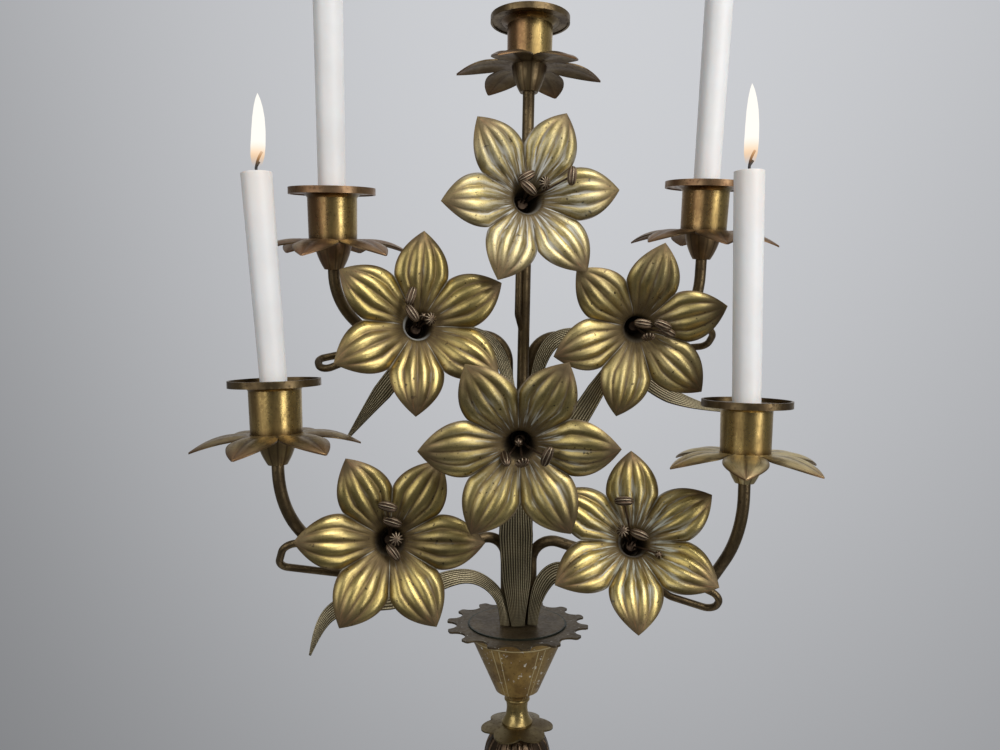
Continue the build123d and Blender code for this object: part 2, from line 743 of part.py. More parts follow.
def cup():
    """Turned candle cup with a flared lip and a bored floor."""
    base = CALYX_HEIGHT
    lip = base + CUP_HEIGHT
    flare = lip - CUP_LIP_HEIGHT
    outline = (
        Line((0, base), (CUP_FOOT_RADIUS, base))
        + Line((CUP_FOOT_RADIUS, base), (CUP_RADIUS, flare))
        + ThreePointArc(
            (CUP_RADIUS, flare),
            (CUP_RADIUS + (CUP_LIP_RADIUS - CUP_RADIUS) * 0.35, flare + CUP_LIP_HEIGHT * 0.7),
            (CUP_LIP_RADIUS, lip),
        )
        + Line((CUP_LIP_RADIUS, lip), (CUP_RADIUS - CUP_WALL, lip))
        + Line((CUP_RADIUS - CUP_WALL, lip), (CUP_FOOT_RADIUS - CUP_WALL, base + CUP_FLOOR))
        + Line((CUP_FOOT_RADIUS - CUP_WALL, base + CUP_FLOOR), (0, base + CUP_FLOOR))
        + Line((0, base + CUP_FLOOR), (0, base))
    )
    return bored(turned(outline), SCREW_RADIUS + TURNED_GAP, base - 1, base + CUP_FLOOR + 1)


def cup_screw():
    """Screw through the floor of the cup into the end of the arm."""
    seat = CALYX_HEIGHT + CUP_FLOOR
    return drum(SCREW_RADIUS, CALYX_HEIGHT - SCREW_LENGTH, seat) + drum(
        SCREW_HEAD_RADIUS, seat, seat + SCREW_HEAD_HEIGHT
    )


def drip_pan():
    """Loose drip pan: a rimmed plate on the lip of the cup with the tube that holds the candle."""
    low = PAN_SEAT - PAN_RIM_DROP
    plate = drum(PAN_RADIUS - PAN_RIM_WALL / 2, PAN_SEAT, PAN_SEAT + PAN_SHEET)
    rim = drum(PAN_RADIUS, low, low + PAN_RIM_HEIGHT) - drum(
        PAN_RADIUS - PAN_RIM_WALL, low - 1, low + PAN_RIM_HEIGHT + 1
    )
    tube = drum(CANDLE_BORE + CANDLE_TUBE_WALL, CANDLE_SEAT - PAN_SHEET, PAN_SEAT + PAN_SHEET)
    return plate + rim + tube - drum(CANDLE_BORE, CANDLE_SEAT, PAN_SEAT + PAN_SHEET + 1)


def candle(length, foot_radius, lean):
    """Wax candle, a little thinner at its foot, with a melted hollow at the top, and its wick."""
    top = CANDLE_SEAT + length
    pool = top - CANDLE_POOL_DEPTH
    outline = (
        Line((0, CANDLE_SEAT), (foot_radius, CANDLE_SEAT))
        + Line((foot_radius, CANDLE_SEAT), (foot_radius, PAN_SEAT + PAN_SHEET))
        + Line((foot_radius, PAN_SEAT + PAN_SHEET), (CANDLE_TOP_RADIUS, top))
        + Line((CANDLE_TOP_RADIUS, top), (CANDLE_POOL_RADIUS, top))
        + ThreePointArc(
            (CANDLE_POOL_RADIUS, top), (CANDLE_POOL_RADIUS * 0.72, pool + 0.3), (WICK_RADIUS * 2, pool)
        )
        + Line((WICK_RADIUS * 2, pool), (0, pool))
        + Line((0, pool), (0, CANDLE_SEAT))
    )
    knee = (0, 0, pool + WICK_HEIGHT * 0.6)
    path = FilletPolyline((0, 0, pool), knee, (WICK_LEAN, 0, pool + WICK_HEIGHT), radius=3)
    middle = (CANDLE_SEAT + PAN_SEAT) / 2
    lift = foot_radius * abs(sin(radians(lean)))
    place = Pos(0, 0, middle + lift) * Rot(0, lean, 0) * Pos(0, 0, -middle)
    return [place * turned(outline), place * rod(path, WICK_RADIUS)]


def build():
    """Make every piece and write it in place."""
    os.makedirs("parts", exist_ok=True)

    save("foot", foot())
    lower_top = LOWER_NECK_WAIST + 1
    lower_neck = spool(LOWER_NECK_BASE, LOWER_NECK_HEIGHT, FOOT_TOP_RADIUS, LOWER_NECK_WAIST, lower_top)
    save("lower_neck", lower_neck)
    save("knop", knop())
    save("knop_collar", collar())
    save("vase_neck", spool(NECK_BASE, NECK_HEIGHT, NECK_FLARE, NECK_WAIST, NECK_WAIST + 0.5))
    save("vase", vase())
    save("crown_plate", crown())
    save("crown_disc", crown_disc())
    save("stem_socket", stem_socket())
    low_nut = FOOT_HEIGHT - FOOT_WALL - TIE_NUT_HEIGHT
    high_nut = VASE_BASE + VASE_FLOOR
    save("tie_nuts", tie_nut(low_nut), tie_nut(high_nut))
    save("tie_rod", drum(TIE_RADIUS, low_nut - TIE_END, high_nut + TIE_NUT_HEIGHT + TIE_END))

    stem = stem_path()
    save("main_stem", tapped(rod(stem, STEM_RADIUS), "top"))
    loops = {"top": tendril("top", stem, STEM_RADIUS)}
    for name in ARM_FEET:
        path = arm_path(name)
        save("arm_" + name, tapped(rod(path, ARM_RADIUS), name))
        loops[name] = tendril(name, path, ARM_RADIUS)
    save("tendril_top", loops["top"])
    save("tendrils_upper", loops["upper_left"], loops["upper_right"])
    save("tendrils_lower", loops["lower_left"], loops["lower_right"])
    save("centre_lily_stem", rod(centre_path(), TENDRIL_RADIUS))

    bloom = lily()
    heads = stamens()
    cap = ferrule()
    for name in LILIES:
        save("lily_" + name, lily_plane(name) * bloom)
        save("stamens_" + name, *[lily_plane(name) * head for head in heads])
    save("lily_ferrules", *[lily_plane(name) * cap for name in LILIES])

    for name in LEAVES:
        save("leaf_" + name, leaf(name))

    dishes = {name: saucer(ARM_RADIUS) for name in ARM_FEET}
    dishes["top"] = saucer(STEM_RADIUS)
    holder = cup()
    pan = drip_pan()
    for name in LIGHTS:
        save("petal_saucer_" + name, light_plane(name) * Rot(0, 0, SAUCER_TURNS[name]) * dishes[name])
        save("candle_cup_" + name, light_plane(name) * holder)
        save("drip_pan_" + name, light_plane(name) * pan)
    save("cup_screws", *[light_plane(name) * cup_screw() for name in LIGHTS])
    for name, sizes in CANDLES.items():
        save("candle_" + name, *[light_plane(name) * piece for piece in candle(*sizes)])


build()
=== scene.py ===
import math

import bmesh
import bpy
import numpy as np
from mathutils import Matrix, Vector


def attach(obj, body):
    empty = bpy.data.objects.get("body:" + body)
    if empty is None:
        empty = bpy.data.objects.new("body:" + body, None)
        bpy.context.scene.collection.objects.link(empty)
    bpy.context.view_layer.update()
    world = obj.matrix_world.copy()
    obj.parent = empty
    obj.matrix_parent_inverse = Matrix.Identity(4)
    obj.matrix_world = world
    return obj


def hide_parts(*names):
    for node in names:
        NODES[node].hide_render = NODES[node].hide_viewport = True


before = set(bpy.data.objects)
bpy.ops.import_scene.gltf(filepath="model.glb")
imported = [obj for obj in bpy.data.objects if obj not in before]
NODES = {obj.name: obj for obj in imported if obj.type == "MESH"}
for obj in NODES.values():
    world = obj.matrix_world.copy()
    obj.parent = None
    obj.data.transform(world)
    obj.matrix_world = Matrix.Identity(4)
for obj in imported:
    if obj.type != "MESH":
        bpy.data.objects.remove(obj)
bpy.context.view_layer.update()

# Metres in a millimetre, and how near to each other points are welded, in metres
MM = 0.001
WELD = 2e-6
PETALS = 6
HALF_PETAL = math.pi / PETALS
UPRIGHT = (Vector((1, 0, 0)), Vector((0, 1, 0)), Vector((0, 0, 1)))

# Sizes and places are in millimetres and degrees, as in the solids, up to the floor and the lamps
# Place of a lily, its turn to the right, its tilt upwards and its roll
LILIES = {
    "top": ((2, -81, 593), 10, 5, 36),
    "upper_left": ((-77, -82, 504), 7.5, 10, -4),
    "upper_right": ((83, -67, 498), -3, -10, -13.5),
    "centre": ((-13.5, -133, 420.5), -8, -8.5, 31),
    "lower_left": ((-97.5, -90.5, 352), 5, 9, 27.5),
    "lower_right": ((75, -86, 349.5), -8, 25, 0),
}
# Origin of a candle place, its lean to the right, its nod to the front and the turn of its saucer
LIGHTS = {
    "top": ((9, 1, 688.3), 1.2, 0, 30),
    "upper_left": ((-141, -36, 544.1), 0, 7, -15),
    "upper_right": ((142, -26, 554.8), 1.5, 6, -1),
    "lower_left": ((-175.4, -80, 405.6), -1.5, 0.5, -18),
    "lower_right": ((151.7, -95, 390.4), 1, 0.5, 39),
}
# Length of a candle, its foot's radius and its lean in the socket
CANDLES = {
    "upper_left": (190.0, 10.0, 0),
    "upper_right": (190.0, 10.0, 0),
    "lower_left": (171.0, 9.2, -2.4),
    "lower_right": (190.0, 10.0, -1.2),
}
# Heights of a candle's foot and of a drip pan over the origin, and depth of the pool of wax
CANDLE_SEAT = 28.3
PAN_SEAT = 55.0
POOL_DEPTH = 1.4
BURNING = ("lower_left", "lower_right")


def lily_axes(name):
    """Rows of the lily's own axes: across, up and out of its face."""
    _, turn, tilt, roll = LILIES[name]
    turn, tilt, roll = math.radians(turn), math.radians(tilt), math.radians(roll)
    face = Vector((math.sin(turn) * math.cos(tilt), -math.cos(turn) * math.cos(tilt), math.sin(tilt)))
    side = Vector((0, 0, 1)).cross(face).normalized()
    rise = face.cross(side)
    return (
        side * math.cos(roll) + rise * math.sin(roll),
        rise * math.cos(roll) - side * math.sin(roll),
        face,
    )


def light_axes(name):
    """Rows of the candle place's own axes, +Z up through the cup."""
    _, lean, nod, _ = LIGHTS[name]
    lean, nod = math.tan(math.radians(lean)), math.tan(math.radians(nod))
    up = Vector((lean, -nod, 1)).normalized()
    side = Vector((1, 0, -lean)).normalized()
    return side, up.cross(side), up


def saucer_axes(name):
    """Rows of the saucer's own axes, turned about the cup's."""
    side, back, up = light_axes(name)
    turn = math.radians(LIGHTS[name][3])
    return (
        side * math.cos(turn) + back * math.sin(turn),
        back * math.cos(turn) - side * math.sin(turn),
        up,
    )


def candle_frame(name):
    """Origin and rows of the candle's own axes."""
    side, back, up = light_axes(name)
    _, foot_radius, lean = CANDLES[name]
    lean = math.radians(lean)
    middle = (CANDLE_SEAT + PAN_SEAT) / 2
    lift = foot_radius * abs(math.sin(lean))
    along = side * math.sin(lean) + up * math.cos(lean)
    origin = Vector(LIGHTS[name][0]) + up * (middle + lift) - along * middle
    return origin, (side * math.cos(lean) - up * math.sin(lean), back, along)


# Materials


class Paint:
    """Builds one procedural material around a principled shader."""

    def __init__(self, name, metallic=1.0, roughness=0.4):
        self.material = bpy.data.materials.new(name)
        self.material.use_nodes = True
        self.tree = self.material.node_tree
        self.tree.nodes.clear()
        self.out = self.tree.nodes.new("ShaderNodeOutputMaterial")
        self.shader = self.tree.nodes.new("ShaderNodeBsdfPrincipled")
        self.shader.inputs["Metallic"].default_value = metallic
        self.shader.inputs["Roughness"].default_value = roughness
        self.tree.links.new(self.shader.outputs[0], self.out.inputs[0])
        coords = self.tree.nodes.new("ShaderNodeTexCoord")
        self.place = coords.outputs["Object"]
        self.uv = coords.outputs["UV"]

    def put(self, socket, value):
        """Link a socket or set its constant."""
        if isinstance(value, bpy.types.NodeSocket):
            self.tree.links.new(value, socket)
        elif isinstance(value, tuple) and len(value) == 3 and len(socket.default_value) == 4:
            socket.default_value = (*value, 1)
        else:
            socket.default_value = value

    def math(self, kind, a, b=0.0, c=0.0, clamp=False):
        """Result of one math node."""
        node = self.tree.nodes.new("ShaderNodeMath")
        node.operation = kind
        node.use_clamp = clamp
        for socket, value in zip(node.inputs, (a, b, c)):
            self.put(socket, value)
        return node.outputs[0]

    def axes(self, vector):
        """The three parts of a vector."""
        node = self.tree.nodes.new("ShaderNodeSeparateXYZ")
        self.put(node.inputs[0], vector)
        return node.outputs[0], node.outputs[1], node.outputs[2]

    def local(self, origin, rows):
        """Place in the millimetres of a piece's own axes."""
        turn = Matrix(rows)
        node = self.tree.nodes.new("ShaderNodeMapping")
        self.put(node.inputs["Vector"], self.place)
        node.inputs["Scale"].default_value = (1000, 1000, 1000)
        node.inputs["Rotation"].default_value = turn.to_euler("XYZ")
        node.inputs["Location"].default_value = -(turn @ Vector(origin))
        return node.outputs[0]

    def radius(self, x, y):
        """Distance from the Z axis."""
        return self.math("SQRT", self.math("MULTIPLY_ADD", x, x, self.math("MULTIPLY", y, y)))

    def joined(self, x, y, z):
        """A vector from its three parts."""
        node = self.tree.nodes.new("ShaderNodeCombineXYZ")
        for socket, value in zip(node.inputs, (x, y, z)):
            self.put(socket, value)
        return node.outputs[0]

    def stretched(self, vector, scales):
        """A vector with each of its parts scaled."""
        node = self.tree.nodes.new("ShaderNodeMapping")
        self.put(node.inputs["Vector"], vector)
        node.inputs["Scale"].default_value = scales
        return node.outputs[0]

    def noise(self, scale, vector=None, detail=5.0, rough=0.55):
        """Noise from 0 to 1 over the piece, or over another vector."""
        node = self.tree.nodes.new("ShaderNodeTexNoise")
        self.put(node.inputs["Vector"], self.place if vector is None else vector)
        node.inputs["Scale"].default_value = scale
        node.inputs["Detail"].default_value = detail
        node.inputs["Roughness"].default_value = rough
        return node.outputs[0]

    def streaks(self, share, across, petal, fineness):
        """Noise drawn out along the petals, different on each."""
        along = self.math("MULTIPLY", share, 3.0)
        over = self.math("MULTIPLY", across, fineness)
        return self.noise(1.0, self.joined(along, over, petal), 4.0, 0.6)

    def step(self, value, low, high, start=0.0, end=1.0):
        """Smooth change from start to end as value goes from low to high."""
        node = self.tree.nodes.new("ShaderNodeMapRange")
        node.interpolation_type = "SMOOTHSTEP"
        self.put(node.inputs["Value"], value)
        limits = {"From Min": low, "From Max": high, "To Min": start, "To Max": end}
        for key, level in limits.items():
            self.put(node.inputs[key], level)
        return node.outputs[0]

    def mix(self, share, first, second):
        """Colour that goes from the first to the second as share goes to 1."""
        node = self.tree.nodes.new("ShaderNodeMix")
        node.data_type = "RGBA"
        self.put(node.inputs[0], share)
        self.put(node.inputs[6], first)
        self.put(node.inputs[7], second)
        return node.outputs[2]

    def blend(self, share, first, second):
        """Show the first shader, which gives way to the second as share goes to 1."""
        node = self.tree.nodes.new("ShaderNodeMixShader")
        self.put(node.inputs[0], share)
        self.put(node.inputs[1], first.outputs[0])
        self.put(node.inputs[2], second.outputs[0])
        self.put(self.out.inputs[0], node.outputs[0])

    def bump(self, height, distance, strength):
        """Fine relief of a height in metres."""
        node = self.tree.nodes.new("ShaderNodeBump")
        node.inputs["Strength"].default_value = strength
        node.inputs["Distance"].default_value = distance
        self.put(node.inputs["Height"], height)
        self.put(self.shader.inputs["Normal"], node.outputs[0])

    def finish(self, color, metallic=None, roughness=None):
        """Set the shader's main sockets and give the material."""
        wanted = {"Base Color": color, "Metallic": metallic, "Roughness": roughness}
        for key, value in wanted.items():
            if value is not None:
                self.put(self.shader.inputs[key], value)
        return self.material


OCHRE = (0.375, 0.27, 0.10)
BROWN = (0.115, 0.075, 0.036)
DARK = (0.035, 0.026, 0.018)
RED_BROWN = (0.25, 0.13, 0.065)
UMBER = (0.135, 0.095, 0.05)
LILY_GOLD = (0.49, 0.37, 0.115)
LILY_RIB_HIGHLIGHT = (0.66, 0.54, 0.215)
LILY_VEIL = (0.66, 0.56, 0.30)
THROAT_LINING = (0.40, 0.40, 0.37)
VERDIGRIS = (0.50, 0.51, 0.42)
LIME = (0.62, 0.61, 0.55)
CUP_TINTS = ((0.55, 0.40, 0.15), (0.33, 0.225, 0.085))
VASE_TINTS = ((0.36, 0.24, 0.08), (0.215, 0.135, 0.047))
ENGRAVED = (0.68, 0.56, 0.30)
VASE_SPECKS = (0.75, 0.72, 0.62)
CROWN_TINTS = ((0.128, 0.095, 0.052), (0.082, 0.058, 0.031))
CROWN_SEAM = (0.025, 0.035, 0.025)
CROWN_SPECKS = (0.70, 0.66, 0.56)
WAX_TINTS = ((0.93, 0.915, 0.90), (0.88, 0.865, 0.85))
FLAME_LIT_WAX = (0.95, 0.86, 0.80)
WICK_BLACK = (0.03, 0.025, 0.02)
LEAF_TINTS = ((0.105, 0.078, 0.04), (0.062, 0.049, 0.029))
LEAF_CREST = (0.82, 0.71, 0.45)
STAMEN_TINTS = ((0.125, 0.08, 0.05), (0.065, 0.043, 0.028))
STAMEN_RIB_HIGHLIGHT = (0.44, 0.36, 0.25)

# Petals of a saucer: where they part, reach and start, how they taper and swell,
# half the gap between them and the least half width
SAUCER_NOTCH = 24.0
SAUCER_REACH = 58.0
SAUCER_RIM = 18.0
SAUCER_TAPER = 2.6
SAUCER_BULGE = 2.5
SAUCER_GAP = 0.12
SAUCER_TIP = 0.6
# Levels between which a cup is darkened by painted shade, at its foot in the saucer and at its mouth
# under the drip pan
CUP_FOOT_SHADE = (27.0, 22.5)
CUP_MOUTH_SHADE = (49.0, 55.0)
# Engraved lines of the vase: pairs, turn of the first, half the angle in a pair, top end, ring
VASE_PAIRS = 6
VASE_TURN = math.radians(64)
VASE_SPREAD = math.radians(5.0)
VASE_LINE_TOP = 250.5
VASE_RING = 251.5
CROWN_SEAM_RADIUS = 39.4
# Length of a burning candle's end that gets painted glow from its flame, and beads along 100 mm of a
# leaf's rib
FLAME_LIT_END = 55.0
LEAF_BEADS = 80


def saucer_terms(p, name):
    """Shader terms of a saucer: share of a petal's length, place across it and streaks."""
    x, y, _ = p.axes(p.local(LIGHTS[name][0], saucer_axes(name)))
    radius = p.radius(x, y)
    angle = p.math("SUBTRACT", p.math("ARCTAN2", y, x), HALF_PETAL)
    turn = p.math("WRAP", angle, HALF_PETAL, -HALF_PETAL)
    out = p.math("MULTIPLY", radius, p.math("COSINE", turn))
    side = p.math("MULTIPLY", radius, p.math("SINE", turn))
    slope = math.tan(HALF_PETAL)
    full = SAUCER_NOTCH * slope - SAUCER_GAP
    inner = p.math("MULTIPLY_ADD", p.math("MINIMUM", out, SAUCER_NOTCH), slope, -SAUCER_GAP)
    free = SAUCER_REACH - SAUCER_NOTCH
    run = p.math("MULTIPLY_ADD", out, 1 / free, -SAUCER_NOTCH / free)
    run = p.math("MAXIMUM", run, 0.0)
    fall = p.math("MULTIPLY", p.math("POWER", run, SAUCER_TAPER), full)
    swell = p.math("MULTIPLY", run, p.math("SUBTRACT", 1.0, run))
    swell = p.math("MULTIPLY", swell, 4 * SAUCER_BULGE)
    half = p.math("ADD", p.math("SUBTRACT", inner, fall), swell)
    half = p.math("MAXIMUM", half, SAUCER_TIP)
    across = p.math("MINIMUM", p.math("DIVIDE", side, half), 1.0)
    across = p.math("MAXIMUM", across, -1.0)
    length = SAUCER_REACH - SAUCER_RIM
    share = p.math("MULTIPLY_ADD", out, 1 / length, -SAUCER_RIM / length)
    petal = p.math("MULTIPLY", p.math("SUBTRACT", angle, turn), 7.0)
    return share, across, p.streaks(share, across, petal, 9.0)


def lily_paint(name, residue, ring, haze):
    """Aged brass of a lily: painted highlights on the ribs, brown grooves, dull tips, residue about the
    throat, painted shade round and down the throat.
    """
    p = Paint("lily_" + name)
    share, column, _ = p.axes(p.uv)
    across = p.math("WRAP", column, 2.0, -2.0)
    petal = p.math("SUBTRACT", column, across)
    streak = p.streaks(share, across, petal, 7.0)
    broad = p.noise(50.0)
    fine = p.noise(420.0)
    rib = p.math("ABSOLUTE", p.math("SINE", p.math("MULTIPLY", across, 2 * math.pi)))
    side = p.math("ABSOLUTE", across)
    body = p.math("MULTIPLY", p.step(share, 0.04, 0.25), p.step(share, 0.92, 0.70))
    color = p.mix(p.step(broad, 0.35, 0.66), LILY_GOLD, OCHRE)
    # Painted highlight: paler colour along the crests of the ribs
    color = p.mix(p.math("MULTIPLY", p.math("POWER", rib, 2.0), 0.45), color, LILY_RIB_HIGHLIGHT)
    color = p.mix(p.step(fine, 0.55, 0.80, 0.0, 0.45), color, OCHRE)
    color = p.mix(p.step(p.noise(28.0, detail=3.0), 0.48, 0.68, 0.0, 0.55), color, UMBER)
    veil = p.step(p.math("ADD", broad, streak), 0.75, 1.25, 0.35 * haze, haze)
    color = p.mix(veil, color, LILY_VEIL)
    soil = p.math("MULTIPLY", p.step(rib, 0.70, 0.0), p.step(streak, 0.30, 0.62, 0.35, 0.9))
    soil = p.math("MULTIPLY", soil, body)
    color = p.mix(soil, color, BROWN)
    grain = p.noise(1100.0, detail=3.0)
    color = p.mix(p.step(grain, 0.50, 0.72, 0.0, 0.45), color, UMBER)
    pits = p.math("MULTIPLY", p.step(p.noise(330.0, detail=1.0), 0.70, 0.74), 0.8)
    color = p.mix(pits, color, DARK)
    tip = p.math("MULTIPLY", p.step(share, 0.52, 0.92), p.step(broad, 0.25, 0.6, 0.7, 0.95))
    edge = p.math("MULTIPLY", p.step(side, 0.86, 1.0), 0.75)
    wear = p.math("MAXIMUM", tip, edge)
    color = p.mix(wear, color, p.mix(p.step(streak, 0.50, 0.70), UMBER, RED_BROWN))
    # Painted shade: darker brown round the throat, where the petals dip into it
    inner = p.math("MULTIPLY", p.step(share, 0.42, 0.04), p.step(streak, 0.3, 0.7, 0.75, 1.0))
    color = p.mix(inner, color, BROWN)
    pale = p.math("MULTIPLY", p.step(share, 0.85, 0.15), p.step(rib, 1.0, 0.30, 0.35, 1.0))
    reach = 0.18 * residue
    chalk = p.step(streak, 0.64 - reach, 0.78 - reach, 0.0, residue)
    chalk = p.math("MULTIPLY", pale, chalk)
    seam = p.math("MULTIPLY", p.step(side, 0.95, 0.99), p.step(share, 0.46, 0.36))
    seam = p.math("MULTIPLY", seam, p.step(streak, 0.40, 0.60, 0.1, 0.7))
    chalk = p.math("MAXIMUM", chalk, seam)
    chalk = p.math("MULTIPLY", chalk, p.step(share, -0.05, 0.10))
    crust = tuple((1 - haze) * green + haze * white for green, white in zip(VERDIGRIS, LIME))
    color = p.mix(chalk, color, crust)
    # Painted shade: darker deeper down the throat
    throat = p.step(share, 0.0, -0.60, 0.0, 0.80)
    color = p.mix(throat, color, DARK)
    x, y, _ = p.axes(p.local(LILIES[name][0], lily_axes(name)))
    low = p.step(p.math("MULTIPLY_ADD", y, 1.3, x), 6.0, -9.0)
    band = p.math("MULTIPLY", p.step(share, -0.10, -0.20), p.step(share, -0.50, -0.32))
    lining = p.math("MULTIPLY", p.math("MULTIPLY", band, low), ring)
    color = p.mix(lining, color, THROAT_LINING)
    dull = p.math("MAXIMUM", inner, p.math("MULTIPLY", wear, 0.8))
    dull = p.math("MAXIMUM", p.math("MAXIMUM", soil, chalk), dull)
    rough = p.math("MULTIPLY_ADD", veil, 0.16, p.step(fine, 0.35, 0.75, 0.0, 0.08))
    rough = p.math("ADD", p.step(dull, 0.0, 1.0, 0.32, 0.52), rough)
    metal = p.step(dull, 0.0, 1.0, 1.0, 0.7)
    mineral = p.math("MULTIPLY", p.math("MAXIMUM", chalk, lining), 0.7)
    metal = p.math("SUBTRACT", metal, mineral, clamp=True)
    p.bump(p.math("ADD", p.math("ADD", fine, streak), grain), 0.00012, 0.5)
    return p.finish(color, metal, rough)


def aged_brass(name, bright, dim, soil, soil_share, roughness):
    """Plain aged metal with soiled patches."""
    p = Paint(name)
    broad = p.noise(70.0)
    fine = p.noise(490.0)
    color = p.mix(p.step(broad, 0.36, 0.66), bright, dim)
    stain = p.step(fine, 0.50, 0.78, 0.0, soil_share)
    color = p.mix(stain, color, soil)
    rough = p.math("ADD", p.step(broad, 0.3, 0.7, roughness - 0.06, roughness + 0.08), stain)
    p.bump(fine, 0.0001, 0.45)
    return p.finish(color, p.step(stain, 0.0, 1.0, 1.0, 0.4), rough)


def saucer_paint(name, tints):
    """Browned brass of a petal saucer, with dark grooves and stained tips."""
    p = Paint("saucer_" + name)
    share, across, streak = saucer_terms(p, name)
    broad = p.noise(60.0)
    fine = p.noise(480.0)
    rib = p.math("ABSOLUTE", p.math("SINE", p.math("MULTIPLY", across, math.pi)))
    color = p.mix(p.step(broad, 0.36, 0.64), *tints)
    color = p.mix(p.math("MULTIPLY", p.step(rib, 0.6, 0.0), 0.75), color, BROWN)
    color = p.mix(p.step(streak, 0.50, 0.75, 0.0, 0.7), color, BROWN)
    color = p.mix(p.math("MULTIPLY", p.step(share, 0.6, 1.0), 0.55), color, RED_BROWN)
    p.bump(fine, 0.0001, 0.5)
    return p.finish(color, 0.9, p.step(fine, 0.3, 0.8, 0.32, 0.52))


def cup_paint(name, stain):
    """Rubbed brass of a cup with upright streaks, painted shade at both ends and a red-brown stain on
    its left.
    """
    p = Paint("cup_" + name)
    own = p.local(LIGHTS[name][0], light_axes(name))
    x, _, z = p.axes(own)
    drips = p.noise(1.0, p.stretched(own, (0.16, 0.16, 0.03)), 5.0, 0.6)
    fine = p.noise(420.0)
    color = p.mix(p.step(drips, 0.36, 0.62), *CUP_TINTS)
    color = p.mix(p.step(fine, 0.50, 0.78, 0.0, 0.5), color, BROWN)
    patch = p.step(p.math("MULTIPLY_ADD", drips, 34.0, x), 21.0, 8.0)
    patch = p.math("MULTIPLY", patch, stain)
    color = p.mix(patch, color, RED_BROWN)
    # Painted shade: darker towards the foot in the saucer and towards the mouth under the drip pan
    ends = p.math("MAXIMUM", p.step(z, *CUP_FOOT_SHADE), p.step(z, *CUP_MOUTH_SHADE))
    color = p.mix(p.math("MULTIPLY", ends, 0.75), color, BROWN)
    p.bump(fine, 0.00008, 0.4)
    return p.finish(color, 1.0, p.step(p.math("ADD", drips, fine), 0.7, 1.4, 0.24, 0.44))


def vase_paint():
    """Vase with engraved lines in pairs, a ring near the mouth and pale specks."""
    p = Paint("vase")
    x, y, z = p.axes(p.local((0, 0, 0), UPRIGHT))
    broad = p.noise(60.0)
    fine = p.noise(500.0)
    angle = p.math("ADD", p.math("ARCTAN2", y, x), VASE_TURN)
    half_step = math.pi / VASE_PAIRS
    turn = p.math("ABSOLUTE", p.math("WRAP", angle, half_step, -half_step))
    line = p.math("ABSOLUTE", p.math("SUBTRACT", turn, VASE_SPREAD))
    line = p.step(line, math.radians(1.0), math.radians(0.35))
    line = p.math("MULTIPLY", line, p.step(z, VASE_LINE_TOP, VASE_LINE_TOP - 0.5))
    ring = p.step(p.math("ABSOLUTE", p.math("SUBTRACT", z, VASE_RING)), 0.9, 0.3)
    cut = p.math("MAXIMUM", line, ring)
    color = p.mix(p.step(broad, 0.36, 0.66), *VASE_TINTS)
    color = p.mix(p.step(fine, 0.55, 0.76, 0.0, 0.6), color, BROWN)
    color = p.mix(p.math("MULTIPLY", cut, 0.85), color, ENGRAVED)
    chalk = p.step(p.noise(230.0, detail=2.0), 0.66, 0.70)
    chalk = p.math("MULTIPLY", chalk, p.step(z, 200.0, 258.0, 0.5, 1.0))
    color = p.mix(chalk, color, VASE_SPECKS)
    p.bump(p.math("SUBTRACT", p.math("MULTIPLY", fine, 0.3), cut), 0.0003, 0.6)
    metal = p.math("SUBTRACT", 0.9, chalk, clamp=True)
    return p.finish(color, metal, p.step(fine, 0.3, 0.8, 0.34, 0.6))


def plate_paint():
    """Dull grey-brown top of the crown with a dark ring round the disc."""
    p = Paint("crown")
    radius = p.radius(*p.axes(p.local((0, 0, 0), UPRIGHT))[:2])
    broad = p.noise(50.0)
    fine = p.noise(380.0)
    color = p.mix(p.step(broad, 0.35, 0.65), *CROWN_TINTS)
    color = p.mix(p.step(fine, 0.5, 0.75, 0.0, 0.6), color, BROWN)
    seam = p.math("ABSOLUTE", p.math("SUBTRACT", radius, CROWN_SEAM_RADIUS))
    seam = p.math("MULTIPLY", p.step(seam, 1.4, 0.5), 0.85)
    color = p.mix(seam, color, CROWN_SEAM)
    specks = p.step(p.noise(260.0, detail=2.0), 0.67, 0.71)
    specks = p.math("MULTIPLY", specks, p.step(radius, 42.0, 50.0))
    color = p.mix(specks, color, CROWN_SPECKS)
    p.bump(fine, 0.00015, 0.5)
    return p.finish(color, 0.7, p.step(fine, 0.3, 0.8, 0.42, 0.65))


def candle_paint(name):
    """White wax with a dark wick, and painted glow from the flame towards the top of a burning candle.
    """
    p = Paint("candle_" + name, metallic=0.0, roughness=0.42)
    x, y, z = p.axes(p.local(*candle_frame(name)))
    top = CANDLE_SEAT + CANDLES[name][0]
    pool = top - POOL_DEPTH
    wick = p.step(z, pool + 0.2, pool + 0.6)
    wick = p.math("MULTIPLY", wick, p.step(p.radius(x, y), 6.5, 5.5))
    wax = p.mix(p.step(p.noise(30.0), 0.3, 0.7), *WAX_TINTS)
    # Painted glow from the flame: the wax turns warmer towards the top of a burning candle
    if name in BURNING:
        wax = p.mix(p.step(z, top - FLAME_LIT_END, top, 0.0, 0.7), wax, FLAME_LIT_WAX)
    color = p.mix(wick, wax, WICK_BLACK)
    p.shader.inputs["Subsurface Weight"].default_value = 0.7
    p.shader.inputs["Subsurface Radius"].default_value = (0.016, 0.014, 0.013)
    p.bump(p.noise(140.0), 0.0003, 0.3)
    return p.finish(color)


